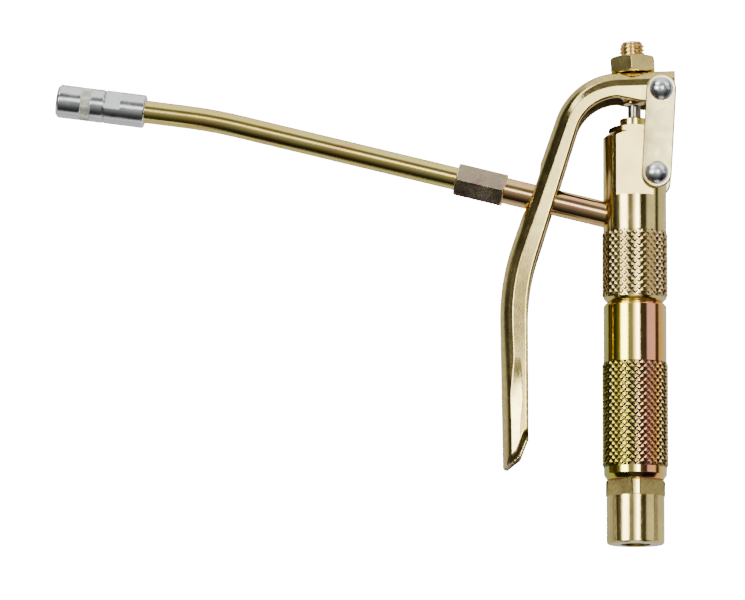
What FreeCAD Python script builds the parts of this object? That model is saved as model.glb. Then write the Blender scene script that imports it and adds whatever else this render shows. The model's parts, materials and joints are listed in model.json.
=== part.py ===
"""High pressure grease gun: a hose-fed control valve with a squeeze lever and a hydraulic coupler.

The row frame is in millimetres. Z runs up the axis of the gun body, with the origin at the centre of
the hose inlet's mouth. The outlet leaves the body towards -X, and the lever hangs on the same side.
"""
import FreeCAD
import Part
import Sketcher
import math
import os
import re

SIZES = {
    # Shared by several parts: a lightly broken edge, and how far a cutting tool runs past the metal.
    "small_edge": 0.3,
    "overrun": 5.0,
    # Hose inlet fitting: round skirt, four flats and a threaded spigot that screws into the grip sleeve.
    "inlet_radius": 12.7,
    "inlet_edge": 0.8,
    "inlet_flats_low": 20.9,
    "inlet_top": 28.2,
    "inlet_across": 20.2,
    "inlet_flats_turn": 1.0,
    "inlet_core": 10.0,
    "inlet_corner_radius": 13.05,
    "inlet_thread_radius": 6.58,
    "inlet_thread_depth": 13.5,
    "inlet_drill_cone": 2.0,
    "inlet_passage": 3.2,
    "spigot_radius": 9.0,
    "spigot_top": 40.0,
    "strainer_radius": 5.9,
    "strainer_floor": 27.0,
    "strainer_wall": 0.6,
    "washer_radius": 11.6,
    "washer_thick": 1.0,
    # Grip sleeve: chromated tube with a long knurled band.
    "sleeve_radius": 13.85,
    "sleeve_foot_radius": 12.5,
    "sleeve_foot": 2.2,
    "sleeve_top": 106.3,
    "sleeve_head_radius": 12.4,
    "sleeve_edge": 1.6,
    "sleeve_passage": 5.0,
    "knurl_root": 13.9,
    "lower_knurl_low": 33.6,
    "lower_knurl_high": 79.7,
    # Valve head.
    "head_low": 106.5,
    "head_top": 181.2,
    "head_radius": 13.9,
    "head_foot_radius": 12.3,
    "head_foot": 1.7,
    "head_crown_radius": 11.6,
    "head_crown": 1.8,
    "flats_low": 152.8,
    "flats_half": 11.3,
    "socket_radius": 9.5,
    "socket_low": 95.0,
    "chamber_radius": 6.0,
    "seat_low": 128.0,
    "seat_height": 4.0,
    "seat_hole": 2.6,
    "seat_cone": 1.0,
    "outlet_chamber_radius": 4.0,
    "guide_low": 152.0,
    "packing_low": 160.0,
    "gland_low": 172.5,
    "gland_bore_radius": 7.0,
    "ball_radius": 4.0,
    "ball_gap": 0.03,
    "stem_radius": 2.95,
    "stem_pin_radius": 1.9,
    "stem_pin_length": 10.0,
    "stem_collar_radius": 3.6,
    "stem_collar": 2.4,
    "stem_top": 194.6,
    "stem_crown": 6.0,
    "running_gap": 0.05,
    "assembly_gap": 0.1,
    "gland_across": 19.8,
    "gland_flats_top": 184.3,
    "gland_collar_radius": 6.6,
    "gland_top": 187.9,
    "gland_edge": 0.7,
    "retainer_low": 97.0,
    "retainer_top": 104.0,
    "retainer_across": 6.0,
    "spring_radius": 3.3,
    "spring_wire": 0.9,
    "spring_turns": 7.0,
    # Lever: pressed channel that arches over the head and hangs beside the grip.
    "lever_width": 22.4,
    "lever_wall": 2.5,
    "lever_nose_x": 17.8,
    "lever_nose_z": 208.8,
    "lever_slope": 2.0,
    "bend_x": -7.2,
    "bend_radius": 30.0,
    "arm_lean": 19.0,
    "arm_depth": 12.3,
    "sweep_z": 132.0,
    "sweep_radius": 100.0,
    "grip_drift": 1.1,
    "tip_z": 33.0,
    "tip_radius": 2.3,
    "tip_point_x": -55.9,
    "tip_point_z": 30.7,
    "tip_shoulder_x": -50.2,
    "tip_shoulder_z": 36.0,
    "tip_inner_x": -46.9,
    "tip_inner_z": 45.9,
    "tip_allowance": 8.0,
    "arch_x": -7.5,
    "arch_z": 196.1,
    "arch_low_x": -25.3,
    "arch_low_z": 182.3,
    "arch_radius": 19.5,
    "ear_x": 2.5,
    "ear_z": 194.0,
    "ear_radius": 6.1,
    "shoulder_radius": 5.0,
    "tube_slot_z": 156.2,
    "tube_slot_long": 25.0,
    "tube_slot_wide": 14.4,
    "slot_cut_reach": 60.0,
    # Adjusting screw and its lock nut, square to the lever's top.
    "screw_radius": 5.5,
    "screw_root": 4.65,
    "screw_pitch": 1.7,
    "screw_turns": 15,
    "screw_lean": 2.3,
    "screw_gap": 0.15,
    "screw_nose_radius": 4.7,
    "screw_nose": 1.2,
    "nut_across": 19.0,
    "nut_low": 13.45,
    "nut_height": 7.4,
    "nut_edge": 1.1,
    "nut_turn": 26.5,
    # Links and rivets.
    "lower_pivot_x": 9.55,
    "lower_pivot_z": 162.0,
    "upper_pivot_x": 11.7,
    "upper_pivot_z": 199.2,
    "link_half": 6.6,
    "link_thick": 2.9,
    "link_inside": 11.45,
    "link_edge": 0.5,
    "rivet_radius": 2.5,
    "rivet_head_radius": 5.1,
    "rivet_rim": 0.35,
    "rivet_dome": 3.0,
    "rivet_gap": 0.1,
    # Outlet: stub tube, union nut, ferrule and bent extension tube.
    "outlet_z": 142.4,
    "outlet_slope": 13.8,
    "stub_radius": 5.8,
    "stub_bore": 3.4,
    "stub_start": 7.0,
    "stub_end": 70.0,
    "stub_passage": 3.0,
    "union_start": 58.7,
    "union_length": 22.0,
    "union_across": 14.0,
    "union_turn": 20.0,
    "union_edge": 1.0,
    "ferrule_length": 4.0,
    "extension_radius": 5.1,
    "extension_bore": 3.3,
    "extension_start": 70.2,
    "extension_corner": 191.6,
    "extension_bend": 6.4,
    "extension_bend_radius": 220.0,
    # Hydraulic coupler, measured from its rear face.
    "coupler_reach": 29.9,
    "coupler_radius": 7.4,
    "coupler_edge": 0.7,
    "coupler_length": 39.5,
    "coupler_joint": 18.2,
    "coupler_joint_gap": 0.4,
    "coupler_flats": 6.6,
    "coupler_across": 11.6,
    "coupler_flat_turn": 26.0,
    "coupler_socket": 9.5,
    "coupler_passage": 1.3,
    "coupler_chamber": 14.0,
    "coupler_chamber_radius": 4.5,
    "coupler_spigot_radius": 6.2,
    "coupler_spigot_end": 25.0,
    "coupler_band_low": 24.1,
    "coupler_band_high": 28.8,
    "coupler_band_radius": 7.05,
    "cone_radius": 6.3,
    "cone_start": 29.6,
    "mouth_radius": 4.5,
    "mouth_edge": 1.3,
    "jaw_gap": 0.12,
    "jaw_slit": 9.0,
    "jaw_low": 31.6,
    "jaw_high": 38.6,
    "nipple_radius": 3.4,
    "seal_low": 28.2,
    "seal_high": 31.2,
    "seal_radius": 4.9,
    "seal_bore": 1.2,
    "plunger_low": 21.0,
    "plunger_flange": 27.1,
    "plunger_radius": 4.4,
    "check_ball_radius": 2.2,
    "check_ball_centre": 19.86,
    "coupler_spring_radius": 1.7,
    "coupler_spring_wire": 0.6,
    "coupler_spring_turns": 4.0,
}

doc = FreeCAD.newDocument("grease_gun")
sheet = doc.addObject("Spreadsheet::Sheet", "sizes")
for row, (alias, size) in enumerate(SIZES.items(), start=1):
    sheet.set(f"A{row}", alias)
    sheet.set(f"B{row}", str(size))
    sheet.setAlias(f"B{row}", alias)
doc.recompute()

parts = []


def linked(formula):
    """The formula with every dimension's name pointing at its cell in the sheet."""
    def cell(word):
        return "sizes." + word[0] if word[0] in SIZES else word[0]

    return re.sub(r"[a-z_]+", cell, str(formula))


def value(formula):
    """The formula's present value, in millimetres or degrees."""
    return float(sheet.evalExpression(str(formula)))


def bind(thing, name, formula):
    thing.setExpression(name, linked(formula))


def keep(label, piece):
    """Names a finished sub-part, which goes to a file of that name."""
    piece.Label = label
    parts.append(piece)
    return piece


# Sketches and solids.

def origin_plane(owner, role):
    for feature in owner.Origin.OriginFeatures:
        if feature.Role == role:
            return feature
    raise ValueError(role)


def new_sketch(owner, role, name):
    drawing = owner.newObject("Sketcher::SketchObject", name)
    drawing.AttachmentSupport = (origin_plane(owner, role), "")
    drawing.MapMode = "FlatFace"
    return drawing


def pin_down(drawing, geometry, end, across, up):
    """Fixes one point of a sketch at a pair of formulas, measured from the sketch's origin."""
    for kind, axis, formula in (("DistanceX", -2, across), ("DistanceY", -1, up)):
        if abs(value(formula)) < 1e-9:
            drawing.addConstraint(Sketcher.Constraint("PointOnObject", geometry, end, axis))
            continue
        size = value(formula)
        index = drawing.addConstraint(Sketcher.Constraint(kind, -1, 1, geometry, end, size))
        bind(drawing, f"Constraints[{index}]", formula)


def arc_middle(start, finish, radius):
    """The middle of the arc from start to finish, which runs anticlockwise for a positive radius."""
    chord = finish - start
    half = chord.Length / 2
    bulge = abs(radius) - math.sqrt(radius * radius - half * half)
    side = FreeCAD.Vector(chord.y, -chord.x, 0).normalize()
    return start + chord / 2 + side * math.copysign(bulge, radius)


def outline(drawing, corners):
    """Adds a closed outline. A corner is a pair of formulas, and a third one is the radius of the arc
    to the next corner, which runs anticlockwise when it is positive."""
    places = [FreeCAD.Vector(value(corner[0]), value(corner[1]), 0) for corner in corners]
    first = drawing.GeometryCount
    ends = []
    for index, corner in enumerate(corners):
        start = places[index]
        finish = places[(index + 1) % len(corners)]
        if len(corner) == 2:
            drawing.addGeometry(Part.LineSegment(start, finish))
            ends.append((1, 2))
            continue
        radius = value(corner[2])
        drawing.addGeometry(Part.Arc(start, arc_middle(start, finish, radius), finish))
        ends.append((1, 2) if radius > 0 else (2, 1))
    for index, corner in enumerate(corners):
        after = (index + 1) % len(corners)
        joint = (first + index, ends[index][1], first + after, ends[after][0])
        drawing.addConstraint(Sketcher.Constraint("Coincident", *joint))
        pin_down(drawing, first + index, ends[index][0], corner[0], corner[1])
    for index, corner in enumerate(corners):
        if len(corner) == 3:
            radius = abs(value(corner[2]))
            mark = drawing.addConstraint(Sketcher.Constraint("Radius", first + index, radius))
            bind(drawing, f"Constraints[{mark}]", f"abs({corner[2]})")


def circle(drawing, across, up, radius):
    centre = FreeCAD.Vector(value(across), value(up), 0)
    index = drawing.addGeometry(Part.Circle(centre, FreeCAD.Vector(0, 0, 1), value(radius)))
    pin_down(drawing, index, 3, across, up)
    mark = drawing.addConstraint(Sketcher.Constraint("Radius", index, value(radius)))
    bind(drawing, f"Constraints[{mark}]", radius)


def long_hole(drawing, low, high, half):
    """Adds an outline with straight sides and a round end about each of two points. Each round end is
    two quarter arcs."""
    run = f"sqrt(({high[0]} - {low[0]})^2 + ({high[1]} - {low[1]})^2)"
    along_x = f"({half} * ({high[0]} - {low[0]}) / {run})"
    along_y = f"({half} * ({high[1]} - {low[1]}) / {run})"
    outline(drawing, [
        (f"{low[0]} + {along_y}", f"{low[1]} - {along_x}"),
        (f"{high[0]} + {along_y}", f"{high[1]} - {along_x}", half),
        (f"{high[0]} + {along_x}", f"{high[1]} + {along_y}", half),
        (f"{high[0]} - {along_y}", f"{high[1]} + {along_x}"),
        (f"{low[0]} - {along_y}", f"{low[1]} + {along_x}", half),
        (f"{low[0]} - {along_x}", f"{low[1]} - {along_y}", half),
    ])


def turned(name, profile, sweep="360"):
    """A body turned about Z from a profile of (radius, height) corners."""
    owner = doc.addObject("PartDesign::Body", name)
    drawing = new_sketch(owner, "XZ_Plane", name + "_profile")
    outline(drawing, profile)
    spun = owner.newObject("PartDesign::Revolution", name + "_turned")
    spun.Profile = drawing
    spun.ReferenceAxis = (drawing, ["V_Axis"])
    bind(spun, "Angle", sweep)
    doc.recompute()
    return owner


def padded(owner, drawing, length, symmetric=False):
    pad = owner.newObject("PartDesign::Pad", drawing.Name + "_pad")
    pad.Profile = drawing
    bind(pad, "Length", length)
    pad.SideType = "Symmetric" if symmetric else "One side"
    doc.recompute()
    return pad


def pocket(owner, drawing, length):
    """Cuts the sketch out on both sides of its plane, and makes sure that something was cut."""
    before = owner.Shape.Volume
    cut = owner.newObject("PartDesign::Pocket", drawing.Name + "_pocket")
    cut.Profile = drawing
    cut.SideType = "Symmetric"
    bind(cut, "Length", length)
    doc.recompute()
    if owner.Shape.Volume > before - 1:
        raise RuntimeError(drawing.Name + " cuts nothing")
    return cut


def eased(owner, kind, size, wanted):
    """Rounds or chamfers the edges of the body's tip that the test picks out."""
    tip = owner.Tip
    names = [f"Edge{number}" for number, edge in enumerate(tip.Shape.Edges, start=1) if wanted(edge)]
    feature = owner.newObject("PartDesign::" + kind, owner.Name + "_" + kind.lower())
    feature.Base = (tip, names)
    bind(feature, "Radius" if kind == "Fillet" else "Size", size)
    doc.recompute()
    return feature


def sided_bar(name, sides, across, low, height, turn="0"):
    """A plain bar along Z with that many equal flats."""
    bar = doc.addObject("Part::Prism", name)
    bar.Polygon = sides
    bind(bar, "Circumradius", f"{across} / 2 / cos(180 / {sides})")
    bind(bar, "Height", height)
    bar.Placement.Rotation = FreeCAD.Rotation(FreeCAD.Vector(0, 0, 1), value(turn))
    bind(bar, "Placement.Base.z", low)
    return bar


def rod(name, radius, height, place):
    """A plain round bar along the local Z of a place."""
    cylinder = doc.addObject("Part::Cylinder", name)
    bind(cylinder, "Radius", radius)
    bind(cylinder, "Height", height)
    cylinder.Placement = place
    return cylinder


def joined(name, kind, base, tool):
    """A boolean of two objects: kind is Cut, Common or Fuse."""
    result = doc.addObject("Part::" + kind, name)
    result.Base = base
    result.Tool = tool
    doc.recompute()
    return result


def coil(label, radius, wire, low, high, turns):
    """An open coil spring of round wire along Z, between two heights over its wire."""
    helix = doc.addObject("Part::Helix", label + "_line")
    bind(helix, "Radius", radius)
    bind(helix, "Height", f"{high} - {low} - {wire}")
    bind(helix, "Pitch", f"({high} - {low} - {wire}) / {turns}")
    section = doc.addObject("Part::Circle", label + "_section")
    bind(section, "Radius", f"{wire} / 2")
    section.Placement = FreeCAD.Placement(
        FreeCAD.Vector(value(radius), 0, 0), FreeCAD.Rotation(FreeCAD.Vector(1, 0, 0), 90)
    )
    swept = doc.addObject("Part::Sweep", label)
    swept.Sections = [section]
    swept.Spine = (helix, ["Edge1"])
    swept.Solid = True
    swept.Frenet = True
    swept.Placement.Base.z = value(f"{low} + {wire} / 2")
    doc.recompute()
    return keep(label, swept)


# Places along the outlet.

def outlet_place(distance, spin=0.0):
    """On the stub tube's axis, that far from the gun's axis, with local Z along the outlet."""
    reach = value(distance)
    slope = value("outlet_slope")
    base = FreeCAD.Vector(
        -reach * math.cos(math.radians(slope)), 0,
        value("outlet_z") + reach * math.sin(math.radians(slope)),
    )
    lean = FreeCAD.Rotation(FreeCAD.Vector(0, -1, 0), 90 - slope)
    return FreeCAD.Placement(base, lean * FreeCAD.Rotation(FreeCAD.Vector(0, 0, 1), spin))


def coupler_place(spin=0.0):
    """At the coupler's rear face, past the extension tube's bend, with local Z towards its mouth."""
    corner = outlet_place("extension_corner").Base
    slope = value("outlet_slope - extension_bend")
    reach = value("coupler_reach")
    base = corner + FreeCAD.Vector(
        -reach * math.cos(math.radians(slope)), 0, reach * math.sin(math.radians(slope))
    )
    lean = FreeCAD.Rotation(FreeCAD.Vector(0, -1, 0), 90 - slope)
    return FreeCAD.Placement(base, lean * FreeCAD.Rotation(FreeCAD.Vector(0, 0, 1), spin))


# Hose inlet and grip.

def inlet_fitting():
    skirt = turned("inlet_blank", [
        ("inlet_thread_radius", "0"),
        ("inlet_radius - inlet_edge", "0"),
        ("inlet_radius", "inlet_edge"),
        ("inlet_radius", "inlet_flats_low"),
        ("inlet_core", "inlet_flats_low"),
        ("inlet_core", "inlet_top - inlet_edge"),
        ("spigot_radius", "inlet_top - inlet_edge"),
        ("spigot_radius", "spigot_top - inlet_edge"),
        ("spigot_radius - inlet_edge", "spigot_top"),
        ("strainer_radius + assembly_gap", "spigot_top"),
        ("strainer_radius + assembly_gap", "strainer_floor"),
        ("inlet_passage", "strainer_floor"),
        ("inlet_passage", "inlet_thread_depth + inlet_drill_cone"),
        ("inlet_thread_radius", "inlet_thread_depth"),
    ])
    flats_height = "inlet_top - inlet_flats_low"
    bar = sided_bar("inlet_bar", 4, "inlet_across", "inlet_flats_low", flats_height, "inlet_flats_turn")
    collar = turned("inlet_collar", [
        ("spigot_radius - 1", "inlet_flats_low"),
        ("inlet_corner_radius - small_edge", "inlet_flats_low"),
        ("inlet_corner_radius", "inlet_flats_low + small_edge"),
        ("inlet_corner_radius", "inlet_top - inlet_edge"),
        ("inlet_corner_radius - inlet_edge", "inlet_top"),
        ("spigot_radius - 1", "inlet_top"),
    ])
    flats = joined("inlet_flats", "Common", collar, bar)
    return keep("inlet_fitting", joined("inlet_fitting", "Fuse", skirt, flats))


def inlet_washer():
    """Soft metal sealing washer between the fitting's shoulder and the sleeve."""
    return keep("inlet_washer", turned("inlet_washer", [
        ("spigot_radius + assembly_gap", "inlet_top"),
        ("washer_radius", "inlet_top"),
        ("washer_radius", "inlet_top + washer_thick"),
        ("spigot_radius + assembly_gap", "inlet_top + washer_thick"),
    ]))


def inlet_strainer():
    """Cup-shaped strainer with an open lower end, lodged in the fitting's spigot."""
    return keep("inlet_strainer", turned("inlet_strainer", [
        ("strainer_radius - strainer_wall", "strainer_floor + 0.05"),
        ("strainer_radius", "strainer_floor + 0.05"),
        ("strainer_radius", "spigot_top - 0.5"),
        ("2 * strainer_wall", "spigot_top - 0.5"),
        ("2 * strainer_wall", "spigot_top - 0.5 - strainer_wall"),
        ("strainer_radius - strainer_wall", "spigot_top - 0.5 - strainer_wall"),
    ]))


def grip_sleeve():
    low = "(inlet_top + assembly_gap / 2)"
    return keep("grip_sleeve", turned("grip_sleeve", [
        ("washer_radius + assembly_gap", low),
        ("sleeve_foot_radius", low),
        ("sleeve_radius", f"{low} + sleeve_foot"),
        ("sleeve_radius", "lower_knurl_low"),
        ("knurl_root", "lower_knurl_low + 0.2"),
        ("knurl_root", "lower_knurl_high - 0.2"),
        ("sleeve_radius", "lower_knurl_high"),
        ("sleeve_radius", "sleeve_top - sleeve_edge"),
        ("sleeve_head_radius", "sleeve_top"),
        ("socket_radius + assembly_gap", "sleeve_top"),
        ("socket_radius + assembly_gap", "socket_low - 2"),
        ("sleeve_passage", "socket_low - 2"),
        ("sleeve_passage", "spigot_top + 1"),
        ("spigot_radius + assembly_gap", "spigot_top + 1"),
        ("spigot_radius + assembly_gap", "inlet_top + washer_thick + assembly_gap / 2"),
        ("washer_radius + assembly_gap", "inlet_top + washer_thick + assembly_gap / 2"),
    ]))


# Valve head and what it holds.

def valve_head():
    blank = turned("head_blank", [
        ("chamber_radius + assembly_gap", "socket_low"),
        ("socket_radius - inlet_edge", "socket_low"),
        ("socket_radius", "socket_low + inlet_edge"),
        ("socket_radius", "head_low"),
        ("head_foot_radius", "head_low"),
        ("head_radius", "head_low + head_foot"),
        ("head_radius", "head_top - head_crown"),
        ("head_crown_radius", "head_top"),
        ("gland_bore_radius", "head_top"),
        ("gland_bore_radius", "gland_low"),
        ("chamber_radius", "gland_low"),
        ("chamber_radius", "packing_low"),
        ("stem_radius + running_gap", "packing_low"),
        ("stem_radius + running_gap", "guide_low"),
        ("outlet_chamber_radius", "guide_low"),
        ("outlet_chamber_radius", "seat_low + seat_height"),
        ("chamber_radius + assembly_gap", "seat_low + seat_height"),
    ])
    flats = new_sketch(blank, "XY_Plane", "head_flats")
    reach = "(head_radius + 2)"
    for side in ("", "-"):
        inner = f"{side}flats_half"
        outer = f"{side}{reach}"
        corners = [(f"-{reach}", inner), (reach, inner), (reach, outer), (f"-{reach}", outer)]
        outline(flats, corners if side == "" else corners[::-1])
    bind(flats, "AttachmentOffset.Base.z", "(flats_low + head_top) / 2 + overrun")
    doc.recompute()
    pocket(blank, flats, "head_top - flats_low + 2 * overrun")
    pivot = new_sketch(blank, "XZ_Plane", "head_pivot")
    circle(pivot, "lower_pivot_x", "lower_pivot_z", "rivet_radius + running_gap")
    pocket(blank, pivot, "4 * head_radius")
    port = rod("head_port", "stub_radius + running_gap", "2 * head_radius", outlet_place("stub_start"))
    passage = rod("head_passage", "stub_passage", "stub_start + 1", outlet_place("0"))
    drilled = joined("head_drilled", "Cut", blank, port)
    return keep("valve_head", joined("valve_head", "Cut", drilled, passage))


def valve_seat():
    low = "seat_low"
    high = "(seat_low + seat_height)"
    return keep("valve_seat", turned("valve_seat", [
        ("seat_hole + seat_cone", low),
        ("chamber_radius", low),
        ("chamber_radius", f"{high} - 0.05"),
        ("seat_hole", f"{high} - 0.05"),
        ("seat_hole", f"{low} + seat_cone"),
    ]))


BALL_Z = "(seat_low + seat_cone - (sqrt(2) * ball_radius - seat_hole) - ball_gap)"


def valve_ball():
    """Ball that the spring and the grease hold against the seat's cone."""
    ball = doc.addObject("Part::Sphere", "valve_ball")
    bind(ball, "Radius", "ball_radius")
    bind(ball, "Placement.Base.z", BALL_Z)
    return keep("valve_ball", ball)


def spring_retainer():
    """Drilled screw that carries the spring, with a hexagon socket through its middle."""
    blank = turned("retainer_blank", [
        ("0", "retainer_low"),
        ("chamber_radius", "retainer_low"),
        ("chamber_radius", "retainer_top"),
        ("0", "retainer_top"),
    ])
    socket = sided_bar("retainer_socket", 6, "retainer_across", "retainer_low - overrun", "retainer_top")
    return keep("spring_retainer", joined("spring_retainer", "Cut", blank, socket))


def valve_stem():
    """Stem with a thin pin that reaches through the seat, and a collar that keeps it in the head."""
    low = f"({BALL_Z} + ball_radius + ball_gap)"
    pin_top = f"({low} + stem_pin_length)"
    collar_top = "(guide_low - small_edge)"
    return keep("valve_stem", turned("valve_stem", [
        ("0", low),
        ("stem_pin_radius - small_edge", low),
        ("stem_pin_radius", f"{low} + small_edge"),
        ("stem_pin_radius", pin_top),
        ("stem_radius", f"{pin_top} + 1"),
        ("stem_radius", f"{collar_top} - stem_collar"),
        ("stem_collar_radius", f"{collar_top} - stem_collar"),
        ("stem_collar_radius", collar_top),
        ("stem_radius", collar_top),
        ("stem_radius", "stem_top - stem_crown + sqrt(stem_crown^2 - stem_radius^2)", "stem_crown"),
        ("0", "stem_top"),
    ]))


def packing_washer():
    return keep("packing_washer", turned("packing_washer", [
        ("stem_radius + running_gap", "packing_low + 0.05"),
        ("chamber_radius - running_gap", "packing_low + 0.05"),
        ("chamber_radius - running_gap", "packing_low + washer_thick"),
        ("stem_radius + running_gap", "packing_low + washer_thick"),
    ]))


def gland_packing():
    """Stack of three V-lipped rings, drawn as one grooved bush."""
    bore = "(stem_radius + running_gap / 2)"
    outer = "(chamber_radius - running_gap)"
    low = "(packing_low + washer_thick + 0.05)"
    ring = f"((gland_low - 0.1 - {low}) / 3)"
    profile = [(bore, low)]
    for number in range(3):
        profile.append((outer, f"{low} + {number} * {ring}"))
        profile.append((outer, f"{low} + {number + 0.85} * {ring}"))
        profile.append((f"{outer} - 0.5", f"{low} + {number + 0.93} * {ring}"))
    profile[-1] = (outer, "gland_low - 0.1")
    profile.pop(-2)
    profile.append((bore, "gland_low - 0.1"))
    return keep("gland_packing", turned("gland_packing", profile))


def gland_nut():
    bore = "(stem_radius + running_gap)"
    corner = "(gland_across / sqrt(3))"
    blank = turned("gland_blank", [
        (bore, "gland_low"),
        ("gland_bore_radius - assembly_gap", "gland_low"),
        ("gland_bore_radius - assembly_gap", "head_top"),
        ("gland_across / 2", "head_top"),
        (corner, f"head_top + ({corner} - gland_across / 2) / 2"),
        (corner, "gland_flats_top - gland_edge"),
        ("gland_across / 2 - small_edge", "gland_flats_top"),
        ("gland_collar_radius", "gland_flats_top"),
        ("gland_collar_radius", "gland_top - gland_edge / 2"),
        ("gland_collar_radius - gland_edge / 2", "gland_top"),
        (bore, "gland_top"),
    ])
    bar = sided_bar("gland_bar", 6, "gland_across", "gland_low - overrun", "gland_top")
    return keep("gland_nut", joined("gland_nut", "Common", blank, bar))


# Lever, adjusting screw, links and rivets.

def lever_side(inset):
    """The lever's side outline, drawn inwards from its spine by the inset. The open side then runs on
    past the walls, so that an inset outline cuts the channel out."""
    spine = f"(bend_radius - {inset})"
    centre_x = "(bend_x + bend_radius * sin(lever_slope))"
    centre_z = (
        "(lever_nose_z - (lever_nose_x - bend_x) * tan(lever_slope)"
        " - bend_radius * cos(lever_slope))"
    )
    arm_x = f"({centre_x} - bend_radius * cos(arm_lean))"
    arm_z = f"({centre_z} + bend_radius * sin(arm_lean))"
    sweep_x = f"({arm_x} - ({arm_z} - sweep_z) * tan(arm_lean) + sweep_radius * cos(arm_lean))"
    sweep_centre_z = "(sweep_z - sweep_radius * sin(arm_lean))"
    outer_sweep = f"(sweep_radius - {inset})"
    grip_x = f"({sweep_x} - {outer_sweep} * cos(grip_drift))"
    grip_z = f"({sweep_centre_z} - {outer_sweep} * sin(grip_drift))"
    spine_side = [
        ("lever_nose_x", f"lever_nose_z - {inset}"),
        (f"{centre_x} - {spine} * sin(lever_slope)", f"{centre_z} + {spine} * cos(lever_slope)", spine),
        (f"{centre_x} - {spine} * cos(arm_lean)", f"{centre_z} + {spine} * sin(arm_lean)"),
        (
            f"{sweep_x} - {outer_sweep} * cos(arm_lean)",
            f"{sweep_centre_z} + {outer_sweep} * sin(arm_lean)",
            outer_sweep,
        ),
    ]
    floor = "(tip_point_z - tip_allowance)"
    foot_x = f"({grip_x} + ({grip_z} - {floor}) * tan(grip_drift))"
    spine_side += [(grip_x, grip_z), (foot_x, floor)]
    if inset == "0":
        inner_sweep = "(sweep_radius - arm_depth)"
        return spine_side + [
            ("tip_inner_x", floor),
            (f"{sweep_x} - {inner_sweep} * cos(grip_drift)", sweep_centre_z, f"-{inner_sweep}"),
            (
                f"{sweep_x} - {inner_sweep} * cos(arm_lean)",
                f"{sweep_centre_z} + {inner_sweep} * sin(arm_lean)",
            ),
            ("arch_low_x", "arch_low_z", "-arch_radius"),
            ("arch_x", "arch_z"),
            ("ear_x", "ear_z"),
            ("upper_pivot_x", "upper_pivot_z - ear_radius", "ear_radius"),
            ("upper_pivot_x + ear_radius", "upper_pivot_z"),
        ]
    return [("lever_nose_x + overrun", f"lever_nose_z - {inset}")] + spine_side[1:] + [
        ("tip_inner_x + 2 * overrun", floor),
        ("tip_inner_x + 2 * overrun", "sweep_z - 4 * overrun"),
        ("lever_nose_x + overrun", "arch_low_z"),
    ]


def lever():
    owner = doc.addObject("PartDesign::Body", "lever")
    side = new_sketch(owner, "XZ_Plane", "lever_side")
    outline(side, lever_side("0"))
    padded(owner, side, "lever_width", symmetric=True)
    nose = FreeCAD.Vector(value("lever_nose_x"), 0, value("lever_nose_z"))

    def starts_spine(edge):
        """The edge at the top of the nose. The fillet runs on from it along the whole spine."""
        across = edge.BoundBox.YLength
        offset = edge.valueAt(edge.FirstParameter) - nose
        return across < 1e-6 and abs(offset.x) < 1e-6 and abs(offset.z) < 1e-6

    eased(owner, "Fillet", "shoulder_radius", starts_spine)
    channel = new_sketch(owner, "XZ_Plane", "lever_channel")
    outline(channel, lever_side("lever_wall"))
    pocket(owner, channel, "lever_width - 2 * lever_wall")
    tip = new_sketch(owner, "XZ_Plane", "lever_tip")
    outline(tip, [
        ("tip_point_x - tip_allowance", "tip_z"),
        ("tip_point_x - tip_radius + small_edge", "tip_z", "tip_radius"),
        ("tip_point_x", "tip_point_z"),
        ("tip_shoulder_x", "tip_shoulder_z"),
        ("tip_inner_x", "tip_inner_z"),
        ("tip_inner_x + tip_allowance", "tip_inner_z"),
        ("tip_inner_x + tip_allowance", "tip_point_z - 2 * tip_allowance"),
        ("tip_point_x - tip_allowance", "tip_point_z - 2 * tip_allowance"),
    ])
    pocket(owner, tip, "2 * lever_width")
    rivet_hole = new_sketch(owner, "XZ_Plane", "lever_rivet_hole")
    circle(rivet_hole, "upper_pivot_x", "upper_pivot_z", "rivet_radius + running_gap / 2")
    pocket(owner, rivet_hole, "2 * lever_width")
    screw_hole = rod("lever_screw_hole", "screw_radius + running_gap", "2 * nut_low", screw_place())
    slot_reach = "(tube_slot_long - tube_slot_wide) / 2"
    slot_tool = doc.addObject("PartDesign::Body", "lever_slot_tool")
    slot = new_sketch(slot_tool, "YZ_Plane", "lever_tube_slot")
    ends = (("0", f"(tube_slot_z - {slot_reach})"), ("0", f"(tube_slot_z + {slot_reach})"))
    long_hole(slot, *ends, "tube_slot_wide / 2")
    padded(slot_tool, slot, "slot_cut_reach")
    slot_tool.Placement.Base.x = value("-slot_cut_reach - 2 * overrun")
    bored = joined("lever_bored", "Cut", owner, screw_hole)
    owner.Label = "lever_channel_body"
    return keep("lever", joined("lever_slotted", "Cut", bored, slot_tool))


def screw_place():
    """At the foot of the adjusting screw, on the stem's axis, leaning square to the lever's top."""
    base = FreeCAD.Vector(0, 0, value("stem_top + screw_gap"))
    return FreeCAD.Placement(base, FreeCAD.Rotation(FreeCAD.Vector(0, -1, 0), value("screw_lean")))


def adjusting_screw():
    """Screw drawn with ring-shaped thread grooves, a plain nose and a chamfered top."""
    profile = [("0", "0"), ("screw_nose_radius", "0"), ("screw_nose_radius", "screw_nose")]
    for turn in range(int(value("screw_turns"))):
        low = f"(screw_nose + {turn} * screw_pitch)"
        profile.append(("screw_root", f"{low} + 0.15 * screw_pitch"))
        profile.append(("screw_radius", f"{low} + 0.55 * screw_pitch"))
        profile.append(("screw_radius", f"{low} + 0.7 * screw_pitch"))
    top = "(screw_nose + screw_turns * screw_pitch)"
    profile.append(("screw_root", f"{top} + 0.15 * screw_pitch"))
    profile.append(("screw_root", f"{top} + 0.35 * screw_pitch"))
    profile.append(("screw_root - 0.6", f"{top} + 0.6 * screw_pitch"))
    profile.append(("0", f"{top} + 0.6 * screw_pitch"))
    screw = keep("adjusting_screw", turned("adjusting_screw", profile))
    screw.Placement = screw_place()
    return screw


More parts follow.
